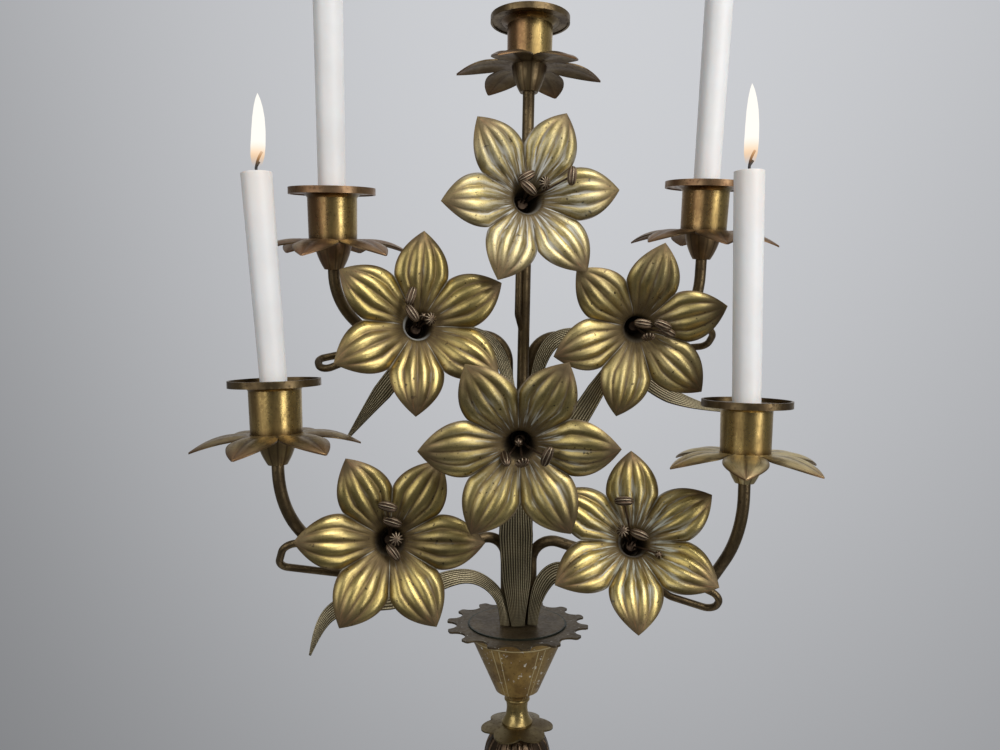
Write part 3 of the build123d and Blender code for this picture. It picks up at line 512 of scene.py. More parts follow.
def leaf_paint():
    """Dark brass leaf with pale beaded ribs."""
    p = Paint("leaf")
    along, across, _ = p.axes(p.uv)
    broad = p.noise(45.0)
    fine = p.noise(500.0)
    beads = p.math("SINE", p.math("MULTIPLY", along, 2 * math.pi * LEAF_BEADS))
    ridge = p.math("ABSOLUTE", p.math("SINE", p.math("MULTIPLY", across, math.pi)))
    crest = p.math("MULTIPLY", p.step(ridge, 0.66, 0.97), p.step(beads, -0.7, 0.6, 0.55, 1.0))
    color = p.mix(p.step(broad, 0.35, 0.65), *LEAF_TINTS)
    color = p.mix(p.step(fine, 0.5, 0.75, 0.0, 0.5), color, DARK)
    rubbed = p.math("MULTIPLY", crest, p.step(broad, 0.25, 0.7, 0.9, 0.6))
    color = p.mix(rubbed, color, LEAF_CREST)
    p.bump(crest, 0.0003, 0.6)
    return p.finish(color, 0.8, p.step(fine, 0.3, 0.8, 0.36, 0.55))


def stamen_paint():
    """Dark brass stamens with painted highlights along the ribs of their heads."""
    p = Paint("stamen_brass")
    turn, head, _ = p.axes(p.uv)
    broad = p.noise(160.0)
    fine = p.noise(900.0)
    ridge = p.math("ABSOLUTE", p.math("COSINE", p.math("MULTIPLY", turn, math.pi)))
    # Painted highlight along the crest of each rib of a head
    crest = p.math("MULTIPLY", p.step(ridge, 0.86, 0.99), head)
    color = p.mix(p.step(broad, 0.35, 0.65), *STAMEN_TINTS)
    color = p.mix(p.step(fine, 0.5, 0.8, 0.0, 0.6), color, DARK)
    color = p.mix(p.math("MULTIPLY", crest, 0.7), color, STAMEN_RIB_HIGHLIGHT)
    p.bump(fine, 0.0001, 0.4)
    return p.finish(color, 0.85, p.step(fine, 0.3, 0.8, 0.36, 0.55))


def coat(node, material):
    """Give a node of the solids one material."""
    mesh = NODES[node].data
    if not mesh.materials:
        mesh.materials.append(material)
    for k in range(len(mesh.materials)):
        mesh.materials[k] = material


SAUCER_TINTS = {
    "top": ((0.26, 0.19, 0.10), (0.17, 0.115, 0.06)),
    "upper_left": ((0.32, 0.215, 0.11), (0.22, 0.125, 0.065)),
    "upper_right": ((0.30, 0.20, 0.10), (0.20, 0.12, 0.06)),
    "lower_left": ((0.34, 0.25, 0.11), (0.24, 0.165, 0.08)),
    "lower_right": ((0.66, 0.54, 0.28), (0.52, 0.41, 0.21)),
}
CUP_STAINS = {
    "top": 0.8,
    "upper_left": 0.75,
    "upper_right": 0.6,
    "lower_left": 0.2,
    "lower_right": 0.1,
}
# Bright and dim tint, soil, its share and roughness
PLAIN_METALS = {
    "red_pan": ((0.36, 0.23, 0.125), (0.24, 0.135, 0.072), BROWN, 0.55, 0.36),
    "pan_brass": ((0.21, 0.15, 0.075), (0.115, 0.078, 0.04), BROWN, 0.55, 0.34),
    "rod_brass": ((0.20, 0.145, 0.075), (0.125, 0.088, 0.048), DARK, 0.5, 0.42),
    "turned_brass": ((0.43, 0.325, 0.13), (0.29, 0.205, 0.082), BROWN, 0.45, 0.32),
    "collar_brass": ((0.185, 0.142, 0.066), (0.125, 0.09, 0.043), BROWN, 0.5, 0.42),
    "knop_bronze": ((0.12, 0.082, 0.05), (0.07, 0.047, 0.03), DARK, 0.5, 0.34),
    "steel": ((0.36, 0.34, 0.31), (0.28, 0.26, 0.24), BROWN, 0.3, 0.4),
}
PLAIN_NODES = {
    "rod_brass": ("main_stem", "centre_lily_stem", "tendril_top", "tendrils_upper", "tendrils_lower"),
    "turned_brass": ("foot", "lower_neck", "vase_neck"),
    "collar_brass": ("knop_collar",),
    "knop_bronze": ("knop",),
    "steel": ("stem_socket", "tie_nuts", "tie_rod", "cup_screws"),
}
for name in LIGHTS:
    coat("petal_saucer_" + name, saucer_paint(name, SAUCER_TINTS[name]))
    coat("candle_cup_" + name, cup_paint(name, CUP_STAINS[name]))
metals = {name: aged_brass(name, *look) for name, look in PLAIN_METALS.items()}
for name in LIGHTS:
    coat("drip_pan_" + name, metals["red_pan" if "upper" in name else "pan_brass"])
for metal, nodes in PLAIN_NODES.items():
    for node in nodes:
        coat(node, metals[metal])
for name in CANDLES:
    coat("arm_" + name, metals["rod_brass"])
    coat("candle_" + name, candle_paint(name))
crown_brass = plate_paint()
for node in ("crown_plate", "crown_disc"):
    coat(node, crown_brass)
stamen_brass = stamen_paint()
coat("lily_ferrules", stamen_brass)
coat("vase", vase_paint())


# Pieces with finer form than the solids


def mesh_piece(name, points, faces, material, body, uvs=None):
    """A smooth-shaded mesh in millimetres that rides on a body."""
    mesh = bpy.data.meshes.new(name)
    mesh.from_pydata([tuple(float(c) * MM for c in q) for q in points], [], faces)
    mesh.validate()
    if uvs is not None:
        layer = mesh.uv_layers.new(name="along")
        for loop in mesh.loops:
            layer.data[loop.index].uv = uvs[loop.vertex_index]
    mesh.polygons.foreach_set("use_smooth", [True] * len(mesh.polygons))
    mesh.materials.append(material)
    piece = bpy.data.objects.new(name, mesh)
    bpy.context.scene.collection.objects.link(piece)
    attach(piece, body)
    return piece


def ring_faces(rings, steps):
    """Faces between rings of points, with both ends closed."""
    faces = []
    for j in range(rings - 1):
        for k in range(steps):
            a = j * steps + k
            b = j * steps + (k + 1) % steps
            faces.append((a, b, b + steps, a + steps))
    faces.append(tuple(range(steps))[::-1])
    last = (rings - 1) * steps
    faces.append(tuple(range(last, last + steps)))
    return faces


CURVE_SAMPLES = 400


def smooth_line(points, count):
    """Points, directions and lengths at even steps along a cubic curve through the given points."""
    knots = np.array(points, float)
    gaps = np.linalg.norm(np.diff(knots, axis=0), axis=1)
    at = np.r_[0.0, np.cumsum(gaps)]
    n = len(knots)
    system = np.zeros((n, n))
    wanted = np.zeros((n, 3))
    system[0, :2] = (2, 1)
    system[-1, -2:] = (1, 2)
    wanted[0] = 3 * (knots[1] - knots[0]) / gaps[0]
    wanted[-1] = 3 * (knots[-1] - knots[-2]) / gaps[-1]
    for k in range(1, n - 1):
        system[k, k - 1 : k + 2] = (gaps[k], 2 * (gaps[k - 1] + gaps[k]), gaps[k - 1])
        left = (knots[k] - knots[k - 1]) / gaps[k - 1]
        right = (knots[k + 1] - knots[k]) / gaps[k]
        wanted[k] = 3 * (gaps[k] * left + gaps[k - 1] * right)
    slopes = np.linalg.solve(system, wanted)

    def place(s):
        k = min(max(int(np.searchsorted(at, s, side="right")) - 1, 0), n - 2)
        h = gaps[k]
        t = (s - at[k]) / h
        a = (1 + 2 * t) * (1 - t) ** 2
        b = t * (1 - t) ** 2
        c = t * t * (3 - 2 * t)
        d = t * t * (t - 1)
        return a * knots[k] + b * h * slopes[k] + c * knots[k + 1] + d * h * slopes[k + 1]

    dense = np.array([place(s) for s in np.linspace(0, at[-1], CURVE_SAMPLES)])
    run = np.r_[0.0, np.cumsum(np.linalg.norm(np.diff(dense, axis=0), axis=1))]
    even = np.linspace(0, run[-1], count)
    line = np.stack([np.interp(even, run, dense[:, k]) for k in range(3)], axis=1)
    along = np.gradient(line, axis=0)
    along /= np.linalg.norm(along, axis=1)[:, None]
    return line, along, even


# Petals of a lily: reach, start and parting, how their sides taper and swell
LILY_REACH = 66.0
LILY_RIM = 12.5
LILY_NOTCH = 33.0
LILY_TAPER = 2.1
LILY_BULGE = 0.9
LEAST_HALF = 0.02
# Level at the throat, rise and droop of the tip, doming across, thickness of the sheet
LILY_BASE = -11.0
LILY_RISE = 16.0
LILY_DROOP = 5.0
LILY_DOME = 0.22
DOME_START = 4
LILY_SHEET = 1.0
# Share of a petal over which the round throat goes over into the petals' own outline
ROUND_SHARE = 0.35
# Height of the ribs, their fullness across and along, and the shares between which they run
RIB_RISE = 1.7
RIB_FULLNESS = (1.05, 0.8)
RIB_START = 0.05
RIB_END = 0.86
# Points along and across a petal, and how much closer they lie towards the tip
PETAL_ROWS = 46
PETAL_COLUMNS = 48
TIP_CROWDING = 1.35
SHARP_EDGE = math.radians(55)
FIRST_PETAL = 90
# Radius and height down the throat
THROAT = [
    (10.7, -12.4),
    (9.5, -14.4),
    (8.7, -17.5),
    (7.9, -22.0),
    (7.0, -27.0),
    (6.1, -31.2),
    (3.2, -31.5),
]


def petal_half(out):
    """Half the width of a lily's petal at a distance from the axis."""
    slope = math.tan(HALF_PETAL)
    if out <= LILY_NOTCH:
        return out * slope
    run = (out - LILY_NOTCH) / (LILY_REACH - LILY_NOTCH)
    swell = 4 * LILY_BULGE * run * (1 - run)
    return max(LILY_NOTCH * slope * (1 - run**LILY_TAPER) + swell, LEAST_HALF)


def petal_grid():
    """Points of one petal along +X with its part of the throat, shares of its length, places across."""
    q = np.linspace(-1, 1, PETAL_COLUMNS + 1)
    ribs = np.abs(np.sin(2 * np.pi * q)) ** RIB_FULLNESS[0]
    turn = np.arctan(q * math.tan(HALF_PETAL))
    rows = []
    shares = []
    for k, (radius, height) in reversed(list(enumerate(THROAT))):
        level = np.full_like(q, height)
        rows.append(np.stack([radius * np.cos(turn), radius * np.sin(turn), level], axis=1))
        shares.append(-(k + 1) / len(THROAT))
    for t in np.linspace(0, 1, PETAL_ROWS):
        share = 1 - (1 - t) ** TIP_CROWDING
        out = LILY_RIM + (LILY_REACH - LILY_RIM) * share
        half = petal_half(out)
        crest = LILY_BASE + LILY_RISE * (1 - (1 - share) ** 2) - LILY_DROOP * share**4
        run = min(max((share - RIB_START) / (RIB_END - RIB_START), 0.0), 1.0)
        level = crest + RIB_RISE * math.sin(math.pi * run) ** RIB_FULLNESS[1] * ribs
        level = level - LILY_DOME * half * q * q * min(1.0, share * DOME_START)
        run = min(share / ROUND_SHARE, 1.0)
        round_in = np.cos(turn) ** (1 - run * run * (3 - 2 * run))
        rows.append(np.stack([out * round_in, half * q * round_in, level], axis=1))
        shares.append(share)
    return np.array(rows), shares, q


def pressed_lily(name, material):
    """Lily of one pressed sheet, in the place of the plainer solid."""
    grid, shares, q = petal_grid()
    along = np.gradient(grid, axis=0)
    over = np.gradient(grid, axis=1)
    out = np.cross(along, over)
    out /= np.maximum(np.linalg.norm(out, axis=2), 1e-9)[:, :, None]
    sheets = np.concatenate([grid.reshape(-1, 3), (grid - LILY_SHEET * out).reshape(-1, 3)])
    count, row = len(shares), PETAL_COLUMNS + 1
    half = count * row
    points = []
    uvs = []
    faces = []
    for petal in range(PETALS):
        start = len(points)
        turn = Matrix.Rotation(math.radians(FIRST_PETAL + 360 / PETALS * petal), 3, "Z")
        points += [turn @ Vector(spot) for spot in sheets]
        uvs += [(shares[k], c + 4 * petal) for _ in range(2) for k in range(count) for c in q]
        for k in range(count - 1):
            for j in range(PETAL_COLUMNS):
                a = start + k * row + j
                faces.append((a, a + row, a + row + 1, a + 1))
                b = a + half
                faces.append((b, b + 1, b + row + 1, b + row))
            if grid[k, 0, 0] > LILY_NOTCH:
                a = start + k * row
                faces.append((a, a + half, a + half + row, a + row))
                b = a + PETAL_COLUMNS
                faces.append((b, b + row, b + row + half, b + half))
    rows = np.array([list(axis) for axis in lily_axes(name)])
    placed = np.array([list(spot) for spot in points]) @ rows + np.array(LILIES[name][0], float)
    piece = mesh_piece("pressed_lily_" + name, placed, faces, material, "stand", uvs)
    weld = bmesh.new()
    weld.from_mesh(piece.data)
    bmesh.ops.remove_doubles(weld, verts=weld.verts, dist=WELD)
    weld.to_mesh(piece.data)
    weld.free()
    piece.data.set_sharp_from_angle(angle=SHARP_EDGE)
    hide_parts("lily_" + name)


# Shares of pale streaks on a lily, of the pale lining of its throat and of a dull veil over it
LILY_AGE = {
    "top": (1.0, 0.35, 0.85),
    "upper_left": (0.40, 0.95, 0.05),
    "upper_right": (0.40, 0.10, 0.45),
    "centre": (0.75, 0.05, 0.30),
    "lower_left": (0.40, 0.10, 0.10),
    "lower_right": (0.95, 0.30, 0.0),
}
for name in LILIES:
    pressed_lily(name, lily_paint(name, *LILY_AGE[name]))


UPRIGHT_LEAF_RIBS = 13
SIDE_LEAF_RIBS = 8
LEAF_STEPS = 130
RIB_COLUMNS = 6
# Half a leaf's thickness, its curl across, the height of its ribs and their share of a narrow leaf
LEAF_HALF_SHEET = 0.35
LEAF_CURL = 0.16
LEAF_RELIEF = 0.45
LEAF_RELIEF_SHARE = 0.09
UV_SCALE = 0.01
# Points along a leaf, half its width at each and the way it faces
LEAVES = {
    "upright": (
        [(-1, -14, 263.2), (-2, -17, 300), (-3, -20, 345), (-3, -21, 385), (-3, -21, 412)],
        (5.0, 11.5, 13.6, 11.0, 0.8),
        (0, -1, 0),
    ),
    "upper_left": (
        [
            (-2.4, -5.5, 425),
            (-7.5, -7, 458),
            (-26, -8, 493),
            (-60, -16, 495),
            (-96, -30, 466),
            (-132, -45, 418),
        ],
        (2.5, 5.0, 7.5, 8.5, 7.5, 0.8),
        (0, -0.8, 0.6),
    ),
    "upper_right": (
        [
            (9.4, -5.5, 425),
            (13.5, -7, 458),
            (32, -8, 494),
            (66, -13, 490),
            (108, -24, 455),
            (160, -32, 436),
        ],
        (2.5, 5.0, 7.5, 8.5, 7.5, 0.8),
        (0, -0.8, 0.6),
    ),
    "lower_left": (
        [
            (-11, -11.5, 263.2),
            (-14, -12, 284),
            (-36, -16, 305),
            (-92, -26, 295),
            (-146, -38, 286),
            (-160, -44, 257),
        ],
        (4.0, 5.0, 7.0, 9.0, 7.0, 0.8),
        (0, -0.8, 0.6),
    ),
    "lower_right": (
        [
            (11, -11.5, 263.2),
            (14, -12, 284),
            (30, -16, 308),
            (42, -20, 308),
            (52, -24, 304),
            (60, -27, 297),
        ],
        (4.0, 5.0, 7.0, 8.0, 6.0, 0.8),
        (0, -0.8, 0.6),
    ),
    "middle_right": (
        [(2.0, -11.5, 352), (14, -15, 380), (40, -28, 424), (62, -32, 460), (77, -34, 488)],
        (3.0, 5.5, 9.0, 7.0, 0.8),
        (0, -1, 0),
    ),
}


def ribbed_leaf(name, material):
    """Pressed leaf with ribs along it on both faces, in the place of the plain solid."""
    knots, halves, facing = LEAVES[name]
    ribs = UPRIGHT_LEAF_RIBS if name == "upright" else SIDE_LEAF_RIBS
    columns = RIB_COLUMNS * ribs
    line, along, run = smooth_line(knots, LEAF_STEPS)
    width = np.interp(np.linspace(0, len(halves) - 1, LEAF_STEPS), range(len(halves)), halves)
    across = np.cross(np.array(facing, float), along)
    across /= np.linalg.norm(across, axis=1)[:, None]
    out = np.cross(along, across)
    q = np.linspace(-1, 1, columns + 1)
    rib = np.abs(np.sin(np.pi * ribs * (q + 1) / 2))
    points = []
    uvs = []
    for side in (1, -1):
        for k in range(LEAF_STEPS):
            relief = min(LEAF_RELIEF, width[k] * LEAF_RELIEF_SHARE)
            level = -LEAF_CURL * width[k] * q * q + side * (LEAF_HALF_SHEET + relief * rib)
            points += list(line[k] + np.outer(q * width[k], across[k]) + np.outer(level, out[k]))
            uvs += [(run[k] * UV_SCALE, (c + 1) / 2 * ribs) for c in q]
    row = columns + 1
    half = LEAF_STEPS * row
    faces = []
    for k in range(LEAF_STEPS - 1):
        for j in range(columns):
            a = k * row + j
            faces.append((a, a + 1, a + row + 1, a + row))
            b = a + half
            faces.append((b, b + row, b + row + 1, b + 1))
        for j, flip in ((0, True), (columns, False)):
            a = k * row + j
            ring = (a, a + row, a + row + half, a + half)
            faces.append(ring if flip else ring[::-1])
    for k, flip in ((0, False), (LEAF_STEPS - 1, True)):
        for j in range(columns):
            a = k * row + j
            ring = (a, a + half, a + half + 1, a + 1)
            faces.append(ring[::-1] if flip else ring)
    piece = mesh_piece("ribbed_leaf_" + name, points, faces, material, "stand", uvs)
    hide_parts("leaf_" + name)


leaf_brass = leaf_paint()
for name in LEAVES:
    ribbed_leaf(name, leaf_brass)


# Stamens


WIRE_STEPS = 10
# A way that no wire runs
ASIDE = (0.31, 0.87, 0.38)
RIB_MIDDLE = 0.6


def lathe(profile, ribs, depth, steps):
    """Points and faces of a turned form with lengthwise ribs, from radii and heights."""
    points = []
    for radius, height in profile:
        for k in range(steps):
            turn = 2 * math.pi * k / steps
            swell = radius * (1 + depth * (abs(math.cos(turn * ribs / 2)) - RIB_MIDDLE))
            points.append((swell * math.cos(turn), swell * math.sin(turn), height))
    return np.array(points), ring_faces(len(profile), steps)


def tube(line, radius):
    """Points and faces of a round wire along points."""
    line = np.array(line, float)
    along = np.gradient(line, axis=0)
    along /= np.linalg.norm(along, axis=1)[:, None]
    side = np.cross(along, ASIDE)
    side /= np.linalg.norm(side, axis=1)[:, None]
    rise = np.cross(along, side)
    points = []
    for k in range(len(line)):
        for j in range(WIRE_STEPS):
            turn = 2 * math.pi * j / WIRE_STEPS
            points.append(line[k] + radius * (math.cos(turn) * side[k] + math.sin(turn) * rise[k]))
    return np.array(points), ring_faces(len(line), WIRE_STEPS)


# Where a stamen's wire bends: how much further out than its foot, and at which share of its height
KNEE_SPREAD = 1.3
KNEE_SHARE = 0.55
WIRE_POINTS = 14
WIRE_RADIUS = 0.75


def bowed(start, end):
    """A wire's line that leaves the cap straight up and bows over to its head."""
    start, end = np.array(start, float), np.array(end, float)
    knee_level = start[2] + KNEE_SHARE * (end[2] - start[2])
    knee = np.array([start[0] * KNEE_SPREAD, start[1] * KNEE_SPREAD, knee_level])
    t = np.linspace(0, 1, WIRE_POINTS)[:, None]
    return (1 - t) ** 2 * start + 2 * t * (1 - t) * knee + t * t * end


def aimed(points, way, at):
    """Points of a form along +Z turned to point another way."""
    turn = Vector((0, 0, 1)).rotation_difference(Vector(way).normalized()).to_matrix()
    return np.array([turn @ Vector(q) for q in points]) + np.array(at, float)


ANTHER = [(0.5, -7.0), (1.7, -6.3), (2.6, -4.6), (3.05, -2.2), (3.15, 0.0)]
ANTHER += [(radius, -level) for radius, level in reversed(ANTHER[:-1])]
STIGMA = [(0.8, -2.4), (2.5, -2.0), (3.8, -0.9), (4.2, 0.2), (3.6, 1.2), (2.1, 1.8), (0.4, 2.0)]
BEAD_RADIUS = 2.7
BEAD_TURNS = np.linspace(-1.45, 1.45, 13)
BEAD = [(BEAD_RADIUS * math.cos(turn), BEAD_RADIUS * math.sin(turn)) for turn in BEAD_TURNS]
# Profile of a head, its ribs and how deep they are
HEAD_FORMS = {"anther": (ANTHER, 8, 0.30), "stigma": (STIGMA, 11, 0.50), "bead": (BEAD, 6, 0.10)}
# Level of a lily's cap, and how far from its axis the wires leave it
CAP_LEVEL = -25.6
WIRE_CIRCLE = 2.2
HEAD_STEPS = 88
# Heads in each lily: places to the right of, above and in front of its own origin, and the way they lie
HEADS = {
    "top": [
        ("anther", (27.3, 13.5, 6), (0.12, 1, 0)),
        ("anther", (-2.7, 14.6, -5), (1, 0.55, 0)),
        ("anther", (-2.3, 5.8, -2), (0.9, -0.9, 0.2)),
        ("stigma", (10.4, 10.4, -4), (0.3, -0.2, 1)),
    ],
    "upper_left": [
        ("anther", (-5.6, 18.9, -1), (0.35, 1, 0)),
        ("anther", (-5.4, 6.0, 2), (0.6, -1, 0.2)),
        ("stigma", (7.6, 2.7, -2), (0.5, -0.2, 1)),
        ("bead", (3.3, 5.8, -8), (0, 0, 1)),
    ],
    "upper_right": [
        ("anther", (2.2, 5.5, -1), (1, -0.15, 0)),
        ("anther", (15.8, 4.9, 2), (1, -0.4, 0)),
        ("anther", (20.0, -0.5, -1), (1, -0.5, 0)),
        ("stigma", (6.2, -4.2, 0), (0, -0.9, 0.8)),
    ],
    "centre": [
        ("anther", (18.3, -2.7, 4), (0.42, 1, 0)),
        ("anther", (-8.9, -7.7, -7), (0.2, -0.4, 1)),
        ("stigma", (2.3, -8.9, -2), (0.3, -0.7, 0.8)),
        ("bead", (-0.4, 2.7, -10), (0, 0, 1)),
    ],
    "lower_left": [
        ("anther", (-2.0, 24.6, 2), (1, -0.28, 0)),
        ("anther", (1.2, 13.6, -4), (1, -0.35, 0)),
        ("anther", (1.8, -7.1, -5), (0.7, -1, 0.2)),
        ("stigma", (3.6, 2.3, 0), (0.1, 0, 1)),
    ],
    "lower_right": [
        ("anther", (-7.4, 25.8, 8), (1, 0.02, 0)),
        ("anther", (3.6, 3.3, 0), (1, -0.42, 0.1)),
        ("stigma", (-8.0, 6.1, -2), (-0.3, 0.2, 1)),
        ("bead", (16.8, -10.0, -3), (0, 0, 1)),
    ],
}


def stamen_group(name, material):
    """Wires with ribbed heads of one lily, in the place of the plain solids."""
    points = np.zeros((0, 3))
    faces = []
    uvs = []

    def add(more, more_faces, ribs=0, steps=1):
        nonlocal points
        start = len(points)
        points = np.vstack([points, more])
        faces.extend(tuple(k + start for k in face) for face in more_faces)
        uvs.extend((ribs * (k % steps) / steps, 1.0 if ribs else 0.0) for k in range(len(more)))

    turn = Matrix.Rotation(-math.radians(LILIES[name][3]), 3, "Z")
    for kind, place, way in HEADS[name]:
        head = turn @ Vector(place)
        foot = Vector((head.x, head.y, 0)).normalized() * WIRE_CIRCLE + Vector((0, 0, CAP_LEVEL))
        add(*tube(bowed(foot, head), WIRE_RADIUS))
        profile, ribs, depth = HEAD_FORMS[kind]
        form, form_faces = lathe(profile, ribs, depth, HEAD_STEPS)
        add(aimed(form, turn @ Vector(way), head), form_faces, ribs, HEAD_STEPS)
    rows = np.array([list(row) for row in lily_axes(name)])
    placed = points @ rows + np.array(LILIES[name][0], float)
    piece = mesh_piece("stamen_heads_" + name, placed, faces, material, "stand", uvs)
    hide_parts("stamens_" + name)


for name in LILIES:
    stamen_group(name, stamen_brass)


# Flames of the two burning candles

FLAME_TINTS = ((1.0, 0.60, 0.26), (1.0, 0.965, 0.90))
FLAME_STRENGTH = 1.05
CHAR = (0.012, 0.009, 0.012)
EMBER = (0.30, 0.12, 0.04)


def flame_paint():
    """Glowing flame, clear about the wick, white above and warm at its lower edge."""
    p = Paint("flame")
    share, _, _ = p.axes(p.uv)
    glow = p.tree.nodes.new("ShaderNodeEmission")
    p.put(glow.inputs["Color"], p.mix(p.step(share, 0.08, 0.36), *FLAME_TINTS))
    glow.inputs["Strength"].default_value = FLAME_STRENGTH
    clear = p.tree.nodes.new("ShaderNodeBsdfTransparent")
    p.blend(p.step(share, 0.0, 0.34), clear, glow)
    p.tree.nodes.remove(p.shader)
    return p.material


def wick_paint():
    """Charred wick, glowing brown towards its end."""
    p = Paint("wick", metallic=0.0, roughness=0.8)
    share, _, _ = p.axes(p.uv)
    return p.finish(p.mix(p.step(share, 0.35, 1.0), CHAR, EMBER))


FLAME_HEIGHTS = {"lower_left": 50.0, "lower_right": 57.0}
FLAME_FOOT = 5.0
FLAME_RADIUS = 4.9
FLAME_STEPS = 28
FLAME_RINGS = 34
# Sideways place of a flame at its foot, and how far and how fast it sways upwards
FLAME_SHIFT = 0.3
FLAME_SWAY = 1.4
FLAME_BEND = 2.4
# Shares of a flame's height and of its radius there
FLAME_SHARES = (0, 0.06, 0.16, 0.3, 0.5, 0.68, 0.82, 0.93, 1)
FLAME_FORM = (0.45, 0.72, 0.94, 1.0, 0.95, 0.82, 0.6, 0.32, 0.02)
# A wick's height, radius, lean to the right and hollow to the left
WICK_LENGTH = 16.0
WICK_RADIUS = 0.9
WICK_LEAN = 0.24
WICK_HOLLOW = 2.4
WICK_POINTS = 16


def flame(name, glow, char):
    """Flame and bent wick on top of a candle."""
    origin, rows = candle_frame(name)
    top = origin + rows[2] * (CANDLE_SEAT + CANDLES[name][0] - POOL_DEPTH)
    line = []
    for t in np.linspace(0, 1, WICK_POINTS):
        aside = WICK_LEAN * WICK_LENGTH * t**2 - WICK_HOLLOW * t * (1 - t)
        line.append(top + Vector((aside, 0, WICK_LENGTH * t)))
    points, faces = tube(line, WICK_RADIUS)
    uvs = [(k // WIRE_STEPS / (WICK_POINTS - 1), 0.0) for k in range(len(points))]
    wick = mesh_piece("wick_" + name, points, faces, char, "wax_" + name, uvs)
    points = []
    uvs = []
    for j in range(FLAME_RINGS + 1):
        share = j / FLAME_RINGS
        radius = FLAME_RADIUS * np.interp(share, FLAME_SHARES, FLAME_FORM)
        sway = FLAME_SWAY * math.sin(FLAME_BEND * share) + FLAME_SHIFT
        level = FLAME_FOOT + FLAME_HEIGHTS[name] * share
        for k in range(FLAME_STEPS):
            turn = 2 * math.pi * k / FLAME_STEPS
            place = Vector((radius * math.cos(turn) + sway, radius * math.sin(turn), level))
            points.append(top + place)
            uvs.append((share, k / FLAME_STEPS))
    faces = ring_faces(FLAME_RINGS + 1, FLAME_STEPS)
    piece = mesh_piece("flame_" + name, points, faces, glow, "wax_" + name, uvs)


flame_glow = flame_paint()
wick_char = wick_paint()
for name in BURNING:
    flame(name, flame_glow, wick_char)


# Floor, background, lamps and camera, in metres

FLOOR_RADIUS = 0.9
FLOOR_DROP = 0.0002
FLOOR_GREY = (0.62, 0.62, 0.63, 1)
# Distances from the foot's middle between which the floor fades out
FLOOR_FADE = (0.16, 0.33)
# Level of the background, its change sideways and upwards, and the least of it
WALL_LEVEL = 0.55
WALL_SIDEWAYS = (-0.59, 0.22)
WALL_UPWARDS = (-0.25, 0.265)
WALL_LEAST = 0.16
WALL_SOFTNESS = 0.3
WALL_TINT = (0.974, 0.992, 1.034, 1)
# The room gets darker from the wall at the back to the front
ROOM_FRONT = -0.6
ROOM_BACK = 0.2
ROOM_LEVEL = (0.9, 0.82)
# Place of a lamp, the point it is aimed at, its width and height and its power
LAMPS = {
    "key": ((0.55, -0.95, 1.65), (0, -0.05, 0.45), (0.9, 0.9), 16.0),
    "window": ((0.95, -1.15, 0.62), (0, -0.05, 0.45), (0.4, 1.3), 6.5),
    "fill": ((-1.2, -1.1, 0.9), (0, -0.05, 0.42), (1.2, 1.4), 8.0),
}
CAMERA_PLACE = (-0.0717, -0.6593, 0.491)
CAMERA_DIP = 2.36
CAMERA_TURN = -5
CAMERA_SENSOR = 36.0
CAMERA_LENS = 29.7


def floor():
    """Pale round floor that fades out away from the foot."""
    bpy.ops.mesh.primitive_circle_add(
        vertices=96, radius=FLOOR_RADIUS, fill_type="NGON", location=(0, 0, -FLOOR_DROP)
    )
    piece = bpy.context.object
    piece.name = "floor"
    p = Paint("floor", metallic=0.0, roughness=0.6)
    p.shader.inputs["Base Color"].default_value = FLOOR_GREY
    x, y, _ = p.axes(p.place)
    clear = p.tree.nodes.new("ShaderNodeBsdfTransparent")
    p.blend(p.step(p.radius(x, y), *FLOOR_FADE), p.shader, clear)
    piece.data.materials.append(p.material)


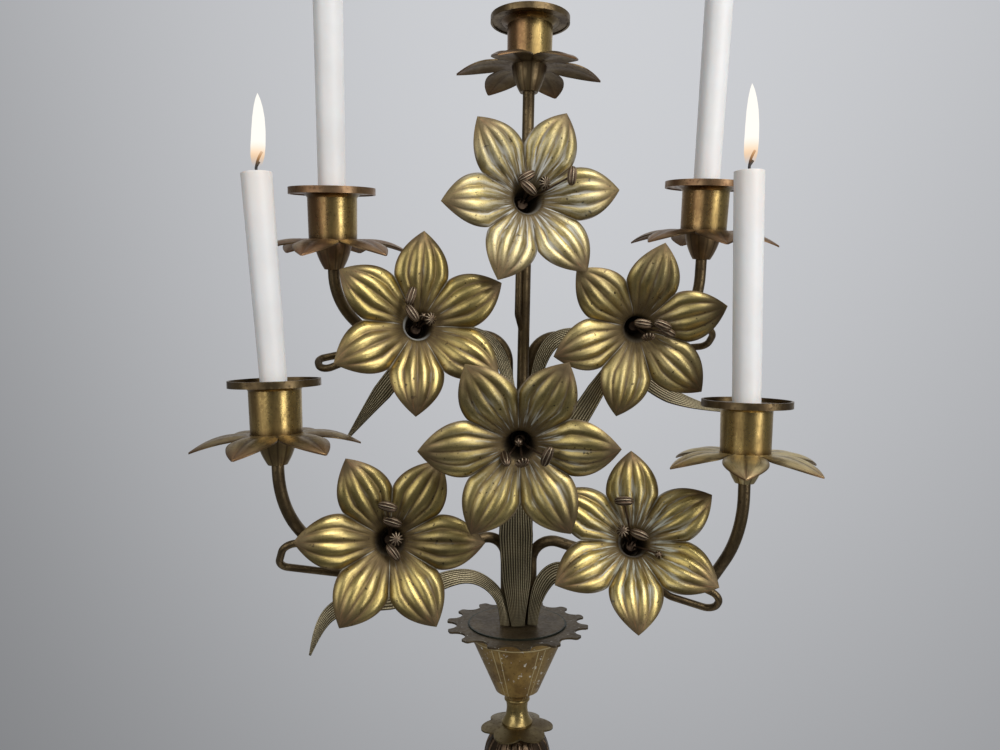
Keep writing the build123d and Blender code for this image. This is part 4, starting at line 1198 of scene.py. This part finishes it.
def backdrop():
    """Grey-lilac world, darker in front, the same for every kind of ray."""
    world = bpy.data.worlds.new("studio")
    bpy.context.scene.world = world
    world.use_nodes = True
    tree = world.node_tree
    back = tree.nodes["Background"]
    coords = tree.nodes.new("ShaderNodeTexCoord")
    split = tree.nodes.new("ShaderNodeSeparateXYZ")
    tree.links.new(coords.outputs["Generated"], split.inputs[0])

    def term(kind, a, b, c=0.0):
        """Result of one math node."""
        node = tree.nodes.new("ShaderNodeMath")
        node.operation = kind
        for socket, value in zip(node.inputs, (a, b, c)):
            if isinstance(value, bpy.types.NodeSocket):
                tree.links.new(value, socket)
            else:
                socket.default_value = value
        return node.outputs[0]

    x, y, z = split.outputs[0], split.outputs[1], split.outputs[2]
    sideways = term("MULTIPLY", x, term("MULTIPLY_ADD", x, *WALL_SIDEWAYS))
    upward = term("MULTIPLY", z, term("MULTIPLY_ADD", z, *WALL_UPWARDS))
    level = term("ADD", term("ADD", sideways, upward), WALL_LEVEL)
    level = term("SMOOTH_MAX", level, WALL_LEAST, WALL_SOFTNESS)
    depth = term("MINIMUM", term("MAXIMUM", y, ROOM_FRONT), ROOM_BACK)
    level = term("MULTIPLY", level, term("MULTIPLY_ADD", depth, *ROOM_LEVEL))
    mix = tree.nodes.new("ShaderNodeMix")
    mix.data_type = "RGBA"
    mix.inputs[6].default_value = (0, 0, 0, 1)
    mix.inputs[7].default_value = WALL_TINT
    tree.links.new(level, mix.inputs[0])
    tree.links.new(mix.outputs[2], back.inputs["Color"])
    back.inputs["Strength"].default_value = 1.0


def lamp(name, place, target, size, power):
    """Soft oblong lamp aimed at a point."""
    data = bpy.data.lights.new(name, "AREA")
    data.shape = "RECTANGLE"
    data.size, data.size_y = size
    data.energy = power
    piece = bpy.data.objects.new(name, data)
    piece.location = place
    aim = Vector(target) - Vector(place)
    piece.rotation_euler = aim.to_track_quat("-Z", "Y").to_euler()
    bpy.context.scene.collection.objects.link(piece)


floor()
backdrop()
for name, setting in LAMPS.items():
    lamp(name, *setting)

camera = bpy.data.objects.new("camera", bpy.data.cameras.new("camera"))
camera.data.sensor_width = CAMERA_SENSOR
camera.data.lens = CAMERA_LENS
camera.location = CAMERA_PLACE
camera.rotation_euler = (math.radians(90 - CAMERA_DIP), 0, math.radians(CAMERA_TURN))
bpy.context.scene.collection.objects.link(camera)
bpy.context.scene.camera = camera
bpy.context.scene.view_settings.view_transform = "Standard"
